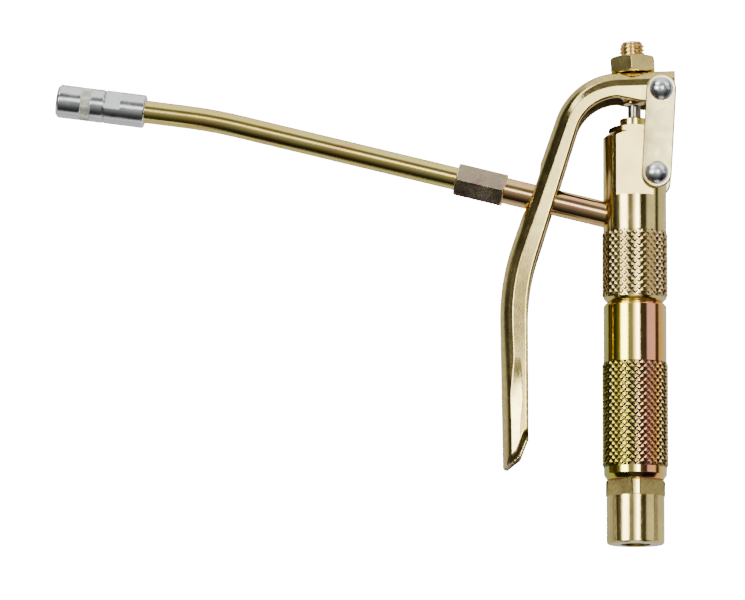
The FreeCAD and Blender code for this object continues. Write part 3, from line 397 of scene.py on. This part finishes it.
def make_materials():
    """Every finish, by its short name."""
    grip_radius = 14 * MM
    made = {}

    def add(key, name, colour, roughness, **settings):
        made[key] = metal(name, colour, roughness, **settings)

    smooth_plate = {"grain": 1.5e-5, "spread": 0.04}
    add("plated", "pale_plate", toned(*PALE), 0.13, **smooth_plate)
    add("turned", "pale_plate_turned", toned(*PALE), 0.10, brush=(1.0, 1.0, 2.0), **smooth_plate)
    add("milled", "pale_plate_milled", toned(*PALE, 500.0), 0.44, grain=4.0e-5, grain_scale=1800.0)
    add(
        "pressed", "pale_plate_pressed", toned(*PALE, 420.0), 0.14, grain=3.6e-5, grain_scale=1700.0,
        spread=0.05
    )
    # Dark tones of the pale plating for the inside of the lever's channel: painted shade inside the
    # channel.
    inside_shade_tones = toned((0.16, 0.12, 0.06), (0.30, 0.23, 0.12), 200.0)
    add("pressed_painted_shade", "pale_plate_painted_shade", inside_shade_tones, 0.42, grain=2.4e-5)
    # The links' plating is dark at one end and light at the other: painted shade across each link.
    plate = painted_shade_across_plate((0.34, 0.28, 0.12), (0.94, 0.80, 0.38), -1.0 * MM, 13.0 * MM)
    add("link", "pale_plate_link", plate, 0.30, grain=2.4e-5)

    sleeve = chromate(SLEEVE_STOPS, grip_radius, 0.25)
    add("sleeve", "gold_chromate_sleeve", sleeve, 0.09, grain=0.9e-5, spread=0.03)
    # The knurls' finishes carry painted shade in their grooves.
    sleeve = chromate(SLEEVE_STOPS, grip_radius, 0.5, groove_shade_radii=(13.90 * MM, 14.2 * MM))
    add("sleeve_knurl", "gold_chromate_knurl", sleeve, 0.16, grain=0.8e-5)
    head = chromate(HEAD_KNURL_STOPS, grip_radius, 0.4, groove_shade_radii=(13.85 * MM, 14.12 * MM))
    add("head_knurl", "gold_chromate_head", head, 0.16, grain=0.8e-5)

    drawn = {"spread": 0.04, "brush": (0.4, 1.0, 1.0)}
    tube = along_chromate(TUBE_STOPS, (26.0, 150.0, 150.0), 0.25)
    add("tube", "gold_chromate_tube", tube, 0.10, grain=2.4e-5, **drawn)
    stub = along_chromate(STUB_STOPS, (60.0, 150.0, 150.0), 0.25)
    add("stub", "gold_chromate_stub", stub, 0.10, grain=1.3e-5, **drawn)
    add("gold", "gold_chromate_small", toned((0.72, 0.50, 0.16), (0.90, 0.68, 0.28), 200.0), 0.22)
    union = along_chromate(UNION_STOPS, (170.0, 170.0, 170.0))
    add("union", "red_chromate_nut", union, 0.24, grain=2.4e-5)

    for key, name, dark, light, scale, roughness, grain in (
        ("zinc", "white_zinc", (0.86, 0.89, 0.90), (0.97, 0.99, 1.0), 160.0, 0.16, 3.0e-5),
        ("band", "white_zinc_knurl", (0.84, 0.84, 0.74), (0.96, 0.96, 0.86), 160.0, 0.34, 1.6e-5),
        ("dome", "white_zinc_dome", (0.80, 0.84, 0.88), (0.92, 0.95, 0.98), 160.0, 0.28, 1.6e-5),
        ("steel", "oiled_steel", (0.22, 0.19, 0.17), (0.36, 0.31, 0.27), 220.0, 0.26, 1.0e-5),
        ("wire", "spring_wire", (0.40, 0.39, 0.37), (0.60, 0.58, 0.55), 400.0, 0.24, 0.6e-5),
        ("copper", "washer_copper", (0.72, 0.34, 0.20), (0.88, 0.48, 0.30), 200.0, 0.30, 1.0e-5),
    ):
        add(key, name, toned(dark, light, scale), roughness, grain=grain)
    made["rubber"] = plain("black_rubber", (0.012, 0.012, 0.012), (0.03, 0.03, 0.03), 0.55)
    made["ptfe"] = plain("white_ptfe", (0.78, 0.78, 0.76), (0.86, 0.86, 0.84), 0.45)
    return made


# The finish of each of the record's slots, and of the nodes that look different from their slot.
finish_of = {
    "pale_plated_steel": "plated", "yellow_chromate": "gold", "red_chromate": "union",
    "white_zinc": "zinc", "grey_steel": "steel", "spring_steel": "wire", "copper": "copper",
    "nitrile_rubber": "rubber", "ptfe": "ptfe",
}
special_finish = {
    "inlet_fitting": "turned", "valve_head": "turned", "grip_sleeve": "sleeve",
    "extension_tube": "tube", "outlet_stub_tube": "stub", "lower_rivet": "dome",
    "upper_rivet": "dome", "link_front": "link", "link_rear": "link", "lever": "pressed",
    "gland_nut": "plated", "lock_nut": "plated",
}
slot_of = {}


def finish_nodes(materials):
    """Every CAD node gets its finish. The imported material's name is the record's slot."""
    for name, piece in nodes.items():
        slot_of[name] = piece.data.materials[0].name
        finish = special_finish.get(name, finish_of[slot_of[name]])
        piece.data.materials.clear()
        piece.data.materials.append(materials[finish])


# ---------------------------------------------------------------- mesh helpers
def new_piece(name, points, faces, material, body, flat=False, crease=35.0):
    """A closed mesh that rides on a body."""
    same_spot = 1e-7
    mesh = bpy.data.meshes.new(name)
    mesh.from_pydata([tuple(p) for p in points], [], faces)
    work = bmesh.new()
    work.from_mesh(mesh)
    bmesh.ops.remove_doubles(work, verts=work.verts, dist=same_spot)
    bmesh.ops.dissolve_degenerate(work, edges=work.edges, dist=same_spot)
    bmesh.ops.recalc_face_normals(work, faces=work.faces)
    work.to_mesh(mesh)
    work.free()
    mesh.materials.append(material)
    piece = bpy.data.objects.new(name, mesh)
    scene.collection.objects.link(piece)
    shade(mesh, flat, crease)
    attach(piece, body)
    return piece


def shade(mesh, flat=False, crease=35.0):
    """Flat shading, or smooth shading with creases sharper than an angle in degrees."""
    mesh.shade_smooth()
    if flat:
        mesh.shade_flat()
    else:
        mesh.set_sharp_from_angle(angle=math.radians(crease))


def weigh(piece):
    """Lets the large faces set the shading, so that flats look flat beside their broken edges."""
    modifier = piece.modifiers.new("weighted", "WEIGHTED_NORMAL")
    modifier.keep_sharp = True


def bridged(loops, closed_ends=True):
    """Points and faces of a skin over loops of equally many points."""
    count = len(loops[0])
    points = [p for loop in loops for p in loop]
    faces = []
    for row in range(len(loops) - 1):
        near, far = row * count, (row + 1) * count
        for i in range(count):
            j = (i + 1) % count
            faces.append((near + i, near + j, far + j, far + i))
    if closed_ends:
        faces.append(tuple(range(count - 1, -1, -1)))
        faces.append(tuple(range((len(loops) - 1) * count, len(loops) * count)))
    return points, faces


def axis_place(origin, direction):
    """Matrix with Z along the direction and Y kept level."""
    up = Vector(direction).normalized()
    side = Vector((0, 1, 0))
    third = side.cross(up).normalized()
    return Matrix.Translation(origin) @ Matrix((third, side, up)).transposed().to_4x4()


def circle_at(radius, height, count):
    """Points round the Z axis."""
    turn = 2 * math.pi / count
    return [
        Vector((radius * math.cos(turn * i), radius * math.sin(turn * i), height)) for i in range(count)
    ]


def stand_in(name, suffix, mesh):
    """A new object that rides with a CAD node and stands for it."""
    piece = bpy.data.objects.new(name + suffix, mesh)
    scene.collection.objects.link(piece)
    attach(piece, nodes[name]["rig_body"])
    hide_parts(name)
    return piece


def refined(name, width):
    """A copy of a CAD node with its edges broken, standing for the node."""
    same_spot = 2e-6
    flat_angle, edge_angle, crease = math.radians(0.6), math.radians(24.0), 50.0
    mesh = nodes[name].data.copy()
    work = bmesh.new()
    work.from_mesh(mesh)
    bmesh.ops.remove_doubles(work, verts=work.verts, dist=same_spot)
    bmesh.ops.dissolve_limit(
        work, angle_limit=flat_angle, verts=work.verts, edges=work.edges, use_dissolve_boundaries=False
    )
    sharp = [e for e in work.edges if len(e.link_faces) == 2 and e.calc_face_angle(0.0) > edge_angle]
    bmesh.ops.bevel(
        work, geom=sharp, offset=width, offset_type="OFFSET", segments=2, profile=0.5,
        affect="EDGES", clamp_overlap=True, miter_outer="SHARP",
    )
    bmesh.ops.dissolve_degenerate(work, edges=work.edges, dist=same_spot)
    bmesh.ops.triangulate(work, faces=[f for f in work.faces if len(f.verts) > 4])
    work.to_mesh(mesh)
    work.free()
    shade(mesh, crease=crease)
    weigh(stand_in(name, "_refined", mesh))


def sprung(name):
    """A copy of a coil, with a mesh of its own, standing for the node."""
    piece = stand_in(name, "_coil", nodes[name].data.copy())
    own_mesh(piece)


def mill_flats(name, material):
    """Gives a part's diagonal flats, which stand along Z, a rougher finish."""
    least_area, diagonal = 2.0 * MM * MM, 0.66
    mesh = bpy.data.objects[name].data
    mesh.materials.append(material)
    for face in mesh.polygons:
        across = min(abs(face.normal.x), abs(face.normal.y))
        if face.area > least_area and across > diagonal and face.center.z > 0:
            face.material_index = 1


# ---------------------------------------------------------------- knurls and threads
# A knurled band's two ends along its axis, and its radii in the valleys, on the points and at the back.
Band = namedtuple("Band", "low high root crest back")


def knurl(name, place, band, starts, material, body):
    """A band of diamond points round an axis, closed at the back."""
    low, high, root, crest, back = band
    top_share, rim_share = 0.22, 0.3
    half_turn = math.pi / starts
    rows = 2 * round((high - low) / (2 * root * half_turn))
    step = (high - low) / rows
    points, faces = [], []

    def at(radius, turn, height):
        points.append(place @ Vector((radius * math.cos(turn), radius * math.sin(turn), height)))
        return len(points) - 1

    lattice = {}

    def valley(column, row):
        column %= 2 * starts
        if (column, row) not in lattice:
            lattice[column, row] = at(root, half_turn * column, low + step * row)
        return lattice[column, row]

    for row in range(0, rows + 1):
        height = low + step * row
        for column in range(row % 2, 2 * starts, 2):
            turn = half_turn * (column + 1)
            left, right = valley(column, row), valley(column + 2, row)
            if 0 < row < rows:
                below, above = valley(column + 1, row - 1), valley(column + 1, row + 1)
                tip = [
                    at(crest, turn - half_turn * top_share, height),
                    at(crest, turn, height - step * top_share),
                    at(crest, turn + half_turn * top_share, height),
                    at(crest, turn, height + step * top_share),
                ]
                faces.append(tuple(tip))
                faces.extend([
                    (left, below, tip[1], tip[0]), (below, right, tip[2], tip[1]),
                    (right, above, tip[3], tip[2]), (above, left, tip[0], tip[3]),
                ])
            else:
                inward = 1 if row == 0 else -1
                inner = valley(column + 1, row + inward)
                middle = at(root + rim_share * (crest - root), turn, height)
                faces.extend([(left, middle, inner), (middle, right, inner)])
                rim_left = at(back, turn - half_turn, height)
                rim = at(back, turn, height)
                rim_right = at(back, turn + half_turn, height)
                faces.extend([(left, middle, rim, rim_left), (middle, right, rim_right, rim)])
    for column in range(2 * starts):
        start, end = half_turn * column, half_turn * (column + 1)
        corners = [at(back, start, low), at(back, end, low), at(back, end, high), at(back, start, high)]
        faces.append(tuple(corners))
    new_piece(name, points, faces, material, body, flat=True)


def straight_knurl(name, place, band, ribs, material, body):
    """A band of fine ribs along an axis, closed at the back."""
    low, high, root, crest, back = band
    profile, chamfer = (0.0, 0.85, 1.0, 0.85), 0.3 * MM
    count = ribs * len(profile)
    turn = 2 * math.pi / count
    backs, roots = [back] * count, [root] * count
    ribbed = [root + (crest - root) * profile[i % len(profile)] for i in range(count)]
    loops = []
    for radii, height in (
        (backs, low), (roots, low), (ribbed, low + chamfer),
        (ribbed, high - chamfer), (roots, high), (backs, high),
    ):
        loops.append([
            place @ Vector((radius * math.cos(turn * i), radius * math.sin(turn * i), height))
            for i, radius in enumerate(radii)
        ])
    points, faces = bridged(loops + [loops[0]], closed_ends=False)
    new_piece(name, points, faces, material, body, crease=25.0)


def thread_rows(low, high, pitch, profile, end_radius, columns):
    """Loops of a helical thread between two plain circles. profile lists radii over one pitch."""
    run_out = 0.5
    steps = len(profile)
    turns = (high - low) / pitch
    loops = []
    for row in range(-steps, math.ceil(turns * steps) + 1):
        loop = []
        for i in range(columns):
            height = low + (row / steps + i / columns) * pitch
            radius = profile[row % steps]
            near = min(height - low, high - height) / pitch
            if near < run_out:
                radius = end_radius + (radius - end_radius) * max(0.0, near / run_out)
            turn = 2 * math.pi * i / columns
            height = min(max(height, low), high)
            loop.append(Vector((radius * math.cos(turn), radius * math.sin(turn), height)))
        loops.append(loop)
    return loops


def helical_skin(loops, steps):
    """Faces over thread rows, where the last column meets the first one a pitch higher."""
    columns = len(loops[0])
    points = [p for loop in loops for p in loop]
    faces = []
    for row in range(len(loops) - 1):
        for i in range(columns - 1):
            a, b = row * columns + i, (row + 1) * columns + i
            faces.append((a, a + 1, b + 1, b))
        if row + steps + 1 < len(loops):
            last, first = row * columns + columns - 1, (row + steps) * columns
            faces.append((last, first, first + columns, last + columns))
    return points, faces


def add_skin(points, faces, rings, columns, capped=False):
    """Adds a skin over circles, given as (radius, height), and closes its last circle if capped."""
    start = len(points)
    more, skins = bridged([circle_at(*ring, columns) for ring in rings], closed_ends=False)
    points += more
    faces += [tuple(start + k for k in face) for face in skins]
    if capped:
        faces.append(tuple(start + (len(rings) - 1) * columns + k for k in range(columns)))


SCREW_LEAN = math.radians(2.3)
SCREW_AXIS = (-math.sin(SCREW_LEAN), 0, math.cos(SCREW_LEAN))


def add_screw(materials):
    """The adjusting screw with its helical thread."""
    nose, nose_high, root, crest, pitch = 4.7 * MM, 1.2 * MM, 4.65 * MM, 5.5 * MM, 1.7 * MM
    end_radius, chamfer, plain_end, columns = 4.0 * MM, 0.6 * MM, 0.9 * MM, 64
    low_corner, high_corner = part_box("adjusting_screw")
    foot = Vector((0, 0, low_corner.z + nose * math.sin(SCREW_LEAN)))
    length = (high_corner.z - foot.z - end_radius * math.sin(SCREW_LEAN)) / math.cos(SCREW_LEAN)
    place = axis_place(foot, SCREW_AXIS)
    flank = [root + share * (crest - root) for share in (0.35, 0.8)]
    profile = [root, *flank, crest, crest, *reversed(flank), root]
    thread_low, thread_high = nose_high, length - plain_end
    rows = thread_rows(thread_low, thread_high, pitch, profile, root, columns)
    points, faces = helical_skin(rows, len(profile))
    for rings in (
        ((root, thread_low), (nose, nose_high), (nose, 0)),
        ((root, thread_high), (root, length - chamfer), (root - chamfer, length)),
    ):
        add_skin(points, faces, rings, columns, capped=True)
    piece = new_piece(
        "adjusting_screw_thread", [place @ p for p in points], faces, materials["gold"], "lever",
        crease=30.0,
    )
    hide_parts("adjusting_screw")


def add_inlet_thread(materials):
    """The ridges of the hose thread inside the inlet's mouth."""
    major, minor, pitch, sunk = 6.58 * MM, 5.72 * MM, 1.337 * MM, 0.2 * MM
    low, high, columns = 0.6 * MM, 12.9 * MM, 64
    flank = major - 0.4 * (major - minor)
    profile = [major, flank, minor, minor, flank, major]
    rows = thread_rows(low, high, pitch, profile, major, columns)
    points, faces = helical_skin(rows, len(profile))
    back = major + sunk
    add_skin(points, faces, ((major, low), (back, low), (back, high), (major, high)), columns)
    new_piece(
        "inlet_thread", points, faces, materials["turned"], "gun_body",
        crease=30.0,
    )


# ---------------------------------------------------------------- lever
# The lever's pivot and the end of its slanting tip, as (x, z) in millimetres.
PIVOT = (11.7, 199.2)
TIP = [(-55.9, 33.0), (-50.2, 37.8), (-46.9, 46.4)]


def smooth(x, low, high):
    """Smooth step from 0 at low to 1 at high."""
    t = min(max((x - low) / (high - low), 0.0), 1.0)
    return t * t * (3 - 2 * t)


def sine(degrees):
    return math.sin(math.radians(degrees))


def cosine(degrees):
    return math.cos(math.radians(degrees))


def tangent(degrees):
    return math.tan(math.radians(degrees))


def arc(centre, radius, start, end, count):
    """Points on an arc, in degrees from +X towards +Z."""
    turns = [start + (end - start) * k / count for k in range(count + 1)]
    return [Vector((centre[0] + radius * cosine(a), centre[1] + radius * sine(a))) for a in turns]


def straight(start, end, count):
    """Points on a straight line."""
    return [Vector(start).lerp(Vector(end), k / count) for k in range(count + 1)]


def lever_rails():
    """The lever's spine and its open edge, station by station, as (x, z) in millimetres."""
    # The crown's slope, and how far the arm and the grip lean from upright, in degrees.
    slope, lean, drift = 2.0, 19.0, 1.1
    high_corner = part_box("lever")[1]
    nose = Vector((high_corner.x / MM, high_corner.z / MM))
    # The crown bends down from bend_x, and the arm sweeps into the grip from sweep_z.
    bend_x, bend, sweep, sweep_z, depth = -7.2, 30.0, 100.0, 132.0, 12.3
    ear_steps, bend_steps, arm_steps, sweep_steps, grip_steps = 8, 24, 18, 18, 72

    centre = (
        bend_x + bend * sine(slope),
        nose[1] - (nose[0] - bend_x) * tangent(slope) - bend * cosine(slope),
    )
    arm = (centre[0] - bend * cosine(lean), centre[1] + bend * sine(lean))
    sweep_centre = (
        arm[0] - (arm[1] - sweep_z) * tangent(lean) + sweep * cosine(lean),
        sweep_z - sweep * sine(lean),
    )
    ear = 6.1
    arch_low, arch, ear_foot = (-25.3, 182.3), (-7.5, 196.1), (2.5, 194.0)

    def top(x):
        return (x, nose[1] - (nose[0] - x) * tangent(slope))

    edge_arc = arc(PIVOT, ear, 0.0, -90.0, ear_steps)
    spine = [Vector(top(p[0])) for p in edge_arc]
    edge = list(edge_arc)
    for far_x, far_edge, count in ((ear_foot[0], ear_foot, 3), (bend_x, arch, 4)):
        spine += straight(spine[-1], top(far_x), count)[1:]
        edge += straight(edge[-1], far_edge, count)[1:]
    spine += arc(centre, bend, 90 + slope, 180 - lean, bend_steps)[1:]
    chord = Vector(arch_low) - Vector(arch)
    middle = (Vector(arch) + Vector(arch_low)) / 2
    arch_radius = 19.5
    reach = math.sqrt(arch_radius**2 - (chord.length / 2) ** 2)
    hub = middle + Vector((-chord[1], chord[0])).normalized() * reach
    start = math.degrees(math.atan2(arch[1] - hub[1], arch[0] - hub[0]))
    end = math.degrees(math.atan2(arch_low[1] - hub[1], arch_low[0] - hub[0]))
    edge += arc(hub, arch_radius, start, end, bend_steps)[1:]
    arm_end = (sweep_centre[0] - sweep * cosine(lean), sweep_centre[1] + sweep * sine(lean))
    inner = sweep - depth
    arm_edge = (sweep_centre[0] - inner * cosine(lean), sweep_centre[1] + inner * sine(lean))
    spine += straight(spine[-1], arm_end, arm_steps)[1:]
    edge += straight(edge[-1], arm_edge, arm_steps)[1:]
    spine += arc(sweep_centre, sweep, 180 - lean, 180 + drift, sweep_steps)[1:]
    edge += arc(sweep_centre, inner, 180 - lean, 180.0, sweep_steps)[1:]
    foot, edge_foot = 25.0, -46.5
    spine_foot = spine[-1][0] + (spine[-1][1] - foot) * tangent(drift)
    spine += straight(spine[-1], (spine_foot, foot), grip_steps)[1:]
    edge += straight(edge[-1], (edge_foot, foot), grip_steps)[1:]
    return spine, edge


def level_at(skin, depth_in):
    """The skin's height at a depth, read off its (depth, height) points."""
    for (low, start), (high, end) in zip(skin, skin[1:]):
        if depth_in <= high:
            return start + (end - start) * (depth_in - low) / max(high - low, 1e-9)
    return skin[-1][1]


ROUND_STEPS, BLEND_STEPS, SLANT_STEPS, SIDE_STEPS = 10, 4, 8, 24


def shoulder_skin(crown, grip, squeeze, slant):
    """The lever's outer edge beside its spine: a round, a softer blend and a slanting face.

    Gives (depth, rise, outward angle) points from the spine's flat. crown and grip are 1 in those
    parts of the lever, and squeeze is less than 1 where the channel is shallow.
    """
    depth_in, rise, skin = 0.0, 0.0, [(0.0, 0.0, 90.0)]
    for start, end, run, count in (
        (90.0, 47.0, 2.0 + 0.9 * grip - 0.6 * crown, ROUND_STEPS),
        (47.0, 37.0 - 7.0 * crown, 1.75 - 0.35 * grip + 0.75 * crown, BLEND_STEPS),
    ):
        run *= squeeze
        radius = run / (sine(start) - sine(end))
        for k in range(1, count + 1):
            turned = start + (end - start) * k / count
            skin.append((depth_in + radius * (sine(start) - sine(turned)),
                         rise + radius * (cosine(turned) - cosine(start)), turned))
        depth_in, rise = skin[-1][:2]
    run = (2.1 + 0.9 * crown) * squeeze
    for k in range(1, SLANT_STEPS + 1):
        ahead = run * k / SLANT_STEPS
        skin.append((depth_in + ahead, rise + ahead * tangent(slant), slant))
    return skin


def lever_section(station, spine, edge, width, wall):
    """One closed loop round the channel's wall.

    One half runs from the spine's middle over the side, round the rim and back inside. The other
    half mirrors it.
    """
    at, to = spine[station], edge[station]
    depth = (to - at).length
    inward = (to - at) / depth
    grip = smooth(-at[1], -100.0, -60.0)
    crown = smooth(at[0], -32.0, -12.0)
    # The sides lean in towards the spine by a few degrees, most where the grip starts.
    tilt = 0.8 + 2.7 * smooth(-at[1], -150.0, -112.0) * (1 - grip)
    lip, inner_lip = 1.1, 0.5
    # The shoulder narrows where the channel is too shallow for it.
    squeeze = min(1.0, (depth - 2.1) / (5.75 + 1.15 * crown))
    slant = 33.5 - 19.5 * smooth(at[0], -38.0, -22.0)
    shoulder = shoulder_skin(crown, grip, squeeze, slant)
    ended, top = shoulder[-1][:2]
    flat = depth - lip - ended
    shift = width - flat * tangent(tilt) - top
    skin = [(d, r + shift) for d, r, turned in shoulder]
    skin += [
        (ended + flat * k / SIDE_STEPS, width - flat * (1 - k / SIDE_STEPS) * tangent(tilt))
        for k in range(1, SIDE_STEPS + 1)
    ]
    rim = [
        (depth - lip + lip * sine(a), width - lip + lip * cosine(a))
        for a in (15.0, 30.0, 50.0, 70.0, 90.0)
    ]

    inner = [
        (depth - inner_lip + inner_lip * cosine(a), width - wall + inner_lip - inner_lip * sine(a))
        for a in (0.0, 22.5, 45.0, 67.5, 90.0)
    ]
    rounded = shoulder[:ROUND_STEPS + BLEND_STEPS + 1]
    start_d, start_r = rounded[-1][:2]
    foot = (start_d + wall * sine(slant), start_r + shift - wall * cosine(slant))
    inner.append((foot[0] + (width - wall - foot[1]) / tangent(slant), width - wall))
    inner += [
        (d + wall * sine(turned), r + shift - wall * cosine(turned))
        for d, r, turned in reversed(rounded)
    ]
    inner.append((wall, 0.5 * shift))

    # The grip's long facet opens downwards like a V. left and right are its edges, as depths.
    facet_top, opening = 100.0, 36.0
    below = facet_top - at[1]
    open_share = min(max(below / opening, 0.0), 1.0)
    left = 8.4 - 4.2 * open_share
    right = 8.5 + 0.9 * open_share - 1.4 * smooth(below, opening, opening + 16.0)
    left_out, right_out = level_at(skin, left), level_at(skin, right)

    def pressed(depth_in, out):
        """Presses the long facet into the side, and rounds the side off towards the tip."""
        if below > 0 and left < depth_in < right:
            out = min(out, left_out + (right_out - left_out) * (depth_in - left) / (right - left))
        drop = tip_drop(at + inward * depth_in)
        return out - drop * smooth(out, width - 3.5, width - 1.5)

    def placed(depth_in, out):
        spot = at + inward * depth_in
        return Vector((spot[0], out, spot[1])) * MM

    half = [(0.0, share * shift) for share in (0.0, 0.5)]
    half += [(d, pressed(d, out)) for d, out in skin + rim[:-1]]
    half += [rim[-1]] + inner
    loop = [placed(d, -out) for d, out in reversed(half)]
    loop += [placed(d, out) for d, out in half[1:]]
    loop.append(placed(wall, 0.0))
    return loop


def tip_drop(spot):
    """How far the outer face falls away towards the tip's slanting end."""
    deepest = 1.7
    nearest = math.inf
    for a, b in zip(TIP, TIP[1:]):
        a, b = Vector(a), Vector(b)
        run = b - a
        share = min(max((spot - a).dot(run) / run.length_squared, 0.0), 1.0)
        nearest = min(nearest, (spot - (a + run * share)).length)
    return deepest * (1 - smooth(nearest, 0.2, 2.6))


def cut(piece, points, faces):
    """Takes a closed tool out of a piece."""
    mesh = bpy.data.meshes.new("tool")
    mesh.from_pydata([tuple(p) for p in points], [], faces)
    work = bmesh.new()
    work.from_mesh(mesh)
    bmesh.ops.recalc_face_normals(work, faces=work.faces)
    work.to_mesh(mesh)
    work.free()
    tool = bpy.data.objects.new("tool", mesh)
    scene.collection.objects.link(tool)
    modifier = piece.modifiers.new("cut", "BOOLEAN")
    modifier.operation = "DIFFERENCE"
    modifier.solver = "MANIFOLD"
    modifier.object = tool
    bpy.context.view_layer.update()
    done = bpy.data.meshes.new_from_object(piece.evaluated_get(bpy.context.evaluated_depsgraph_get()))
    piece.modifiers.remove(modifier)
    piece.data = done
    bpy.data.objects.remove(tool)


def cut_through(piece, outline, axis, start, end):
    """Takes an outline, in millimetres, out of a piece from one level along an axis to another."""
    cut(piece, *bridged([[(point + axis * level) * MM for point in outline] for level in (start, end)]))


def faces_out(face, rails):
    """Whether a face of the lever looks away from the channel's inside, over its spine."""
    least_share = 0.2
    spot = Vector((face.center.x, face.center.z)) / MM
    at, to = min(rails, key=lambda rail: (rail[0] - spot).length_squared)
    return Vector((face.normal.x, face.normal.z)).dot(to - at) < -least_share * (to - at).length


def add_lever(materials):
    """The lever as a smooth pressed channel, with its slanting end and its holes."""
    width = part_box("lever")[1].y / MM
    wall = 2.5
    spine, edge = lever_rails()
    loops = [lever_section(k, spine, edge, width, wall) for k in range(len(spine))]
    points, faces = bridged(loops)
    piece = new_piece("lever_channel", points, faces, materials["pressed"], "lever")
    # The second material, for the channel's inside, carries painted shade.
    piece.data.materials.append(materials["pressed_painted_shade"])

    along, across = Vector((1, 0, 0)), Vector((0, 1, 0))
    tail = [
        (-70, 34.9), (-58.9, 34.9), (-58.1, 33.7), (-57.1, 33.1), *TIP,
        (-40, 46.4), (-40, 10), (-70, 10),
    ]
    cut_through(piece, [Vector((x, 0, z)) for x, z in tail], across, -30, 30)

    slot_z, slot_reach, slot_half, steps = 156.2, 5.3, 7.2, 16
    slot = []
    for shift, start in ((slot_reach, 0.0), (-slot_reach, math.pi)):
        for k in range(steps + 1):
            a = start + math.pi * k / steps
            slot.append(Vector((0, slot_half * math.cos(a), slot_z + shift + slot_half * math.sin(a))))
    cut_through(piece, slot, along, -70, -10)

    rivet, steps = 2.55, 32
    pivot = Vector((PIVOT[0], 0, PIVOT[1]))
    hole = []
    for k in range(steps):
        a = 2 * math.pi * k / steps
        hole.append(Vector((pivot.x + rivet * math.cos(a), 0, pivot.z + rivet * math.sin(a))))
    cut_through(piece, hole, across, -20, 20)

    foot, screw_radius, steps = Vector((0, 0, 194.75 * MM)), 5.55 * MM, 48
    screw = axis_place(foot, SCREW_AXIS)
    ends = [[screw @ p for p in circle_at(screw_radius, h * MM, steps)] for h in (5.0, 20.0)]
    cut(piece, *bridged(ends))

    rails = list(zip(spine, edge))
    # Faces inside the channel take the second material, with its painted shade.
    for face in piece.data.polygons:
        inward = abs(face.center.y) < (width - wall + 0.2) * MM and not faces_out(face, rails)
        face.material_index = 1 if inward else 0
    shade(piece.data, crease=38.0)
    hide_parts("lever")


# ---------------------------------------------------------------- build
add_camera()
add_world()
add_floor()
add_lamp("key", (-0.9, -1.0, 1.5), size=0.9, power=10.0)
add_lamp("fill", (0.9, -0.6, 1.1), size=0.9, power=4.0)
materials = make_materials()
finish_nodes(materials)

upright = Matrix.Identity(4)
sleeve_band = Band(33.6 * MM, 79.7 * MM, root=13.9 * MM, crest=14.5 * MM, back=13.4 * MM)
head_band = Band(108.3 * MM, 137.5 * MM, root=13.85 * MM, crest=14.4 * MM, back=13.4 * MM)
coupler_band = Band(24.14 * MM, 28.76 * MM, root=7.06 * MM, crest=7.38 * MM, back=6.7 * MM)
starts, ribs = 28, 60
knurl(
    "sleeve_knurl", upright, sleeve_band, starts, materials["sleeve_knurl"], "gun_body",
)
knurl(
    "head_knurl", upright, head_band, starts, materials["head_knurl"], "gun_body",
)
socket = next(m for m in frame["record"]["mounts"] if m["name"] == "nipple_socket")
socket_high = 34.95 * MM
nose_axis = Vector(socket["axis"])
nose_place = axis_place(Vector(socket["pos_m"]) - nose_axis * socket_high, nose_axis)
straight_knurl(
    "coupler_knurl", nose_place, coupler_band, ribs, materials["band"], "gun_body",
)
add_screw(materials)
add_inlet_thread(materials)
add_lever(materials)
for name, width in (
    ("inlet_fitting", 0.22), ("gland_nut", 0.22), ("lock_nut", 0.22), ("union_nut", 0.25),
    ("coupler_body", 0.18), ("coupler_sleeve", 0.18), ("link_front", 0.2), ("link_rear", 0.2),
    ("valve_head", 0.18), ("grip_sleeve", 0.18),
):
    refined(name, width * MM)
mill_flats("inlet_fitting_refined", materials["milled"])
sprung("valve_spring")
sprung("coupler_spring")
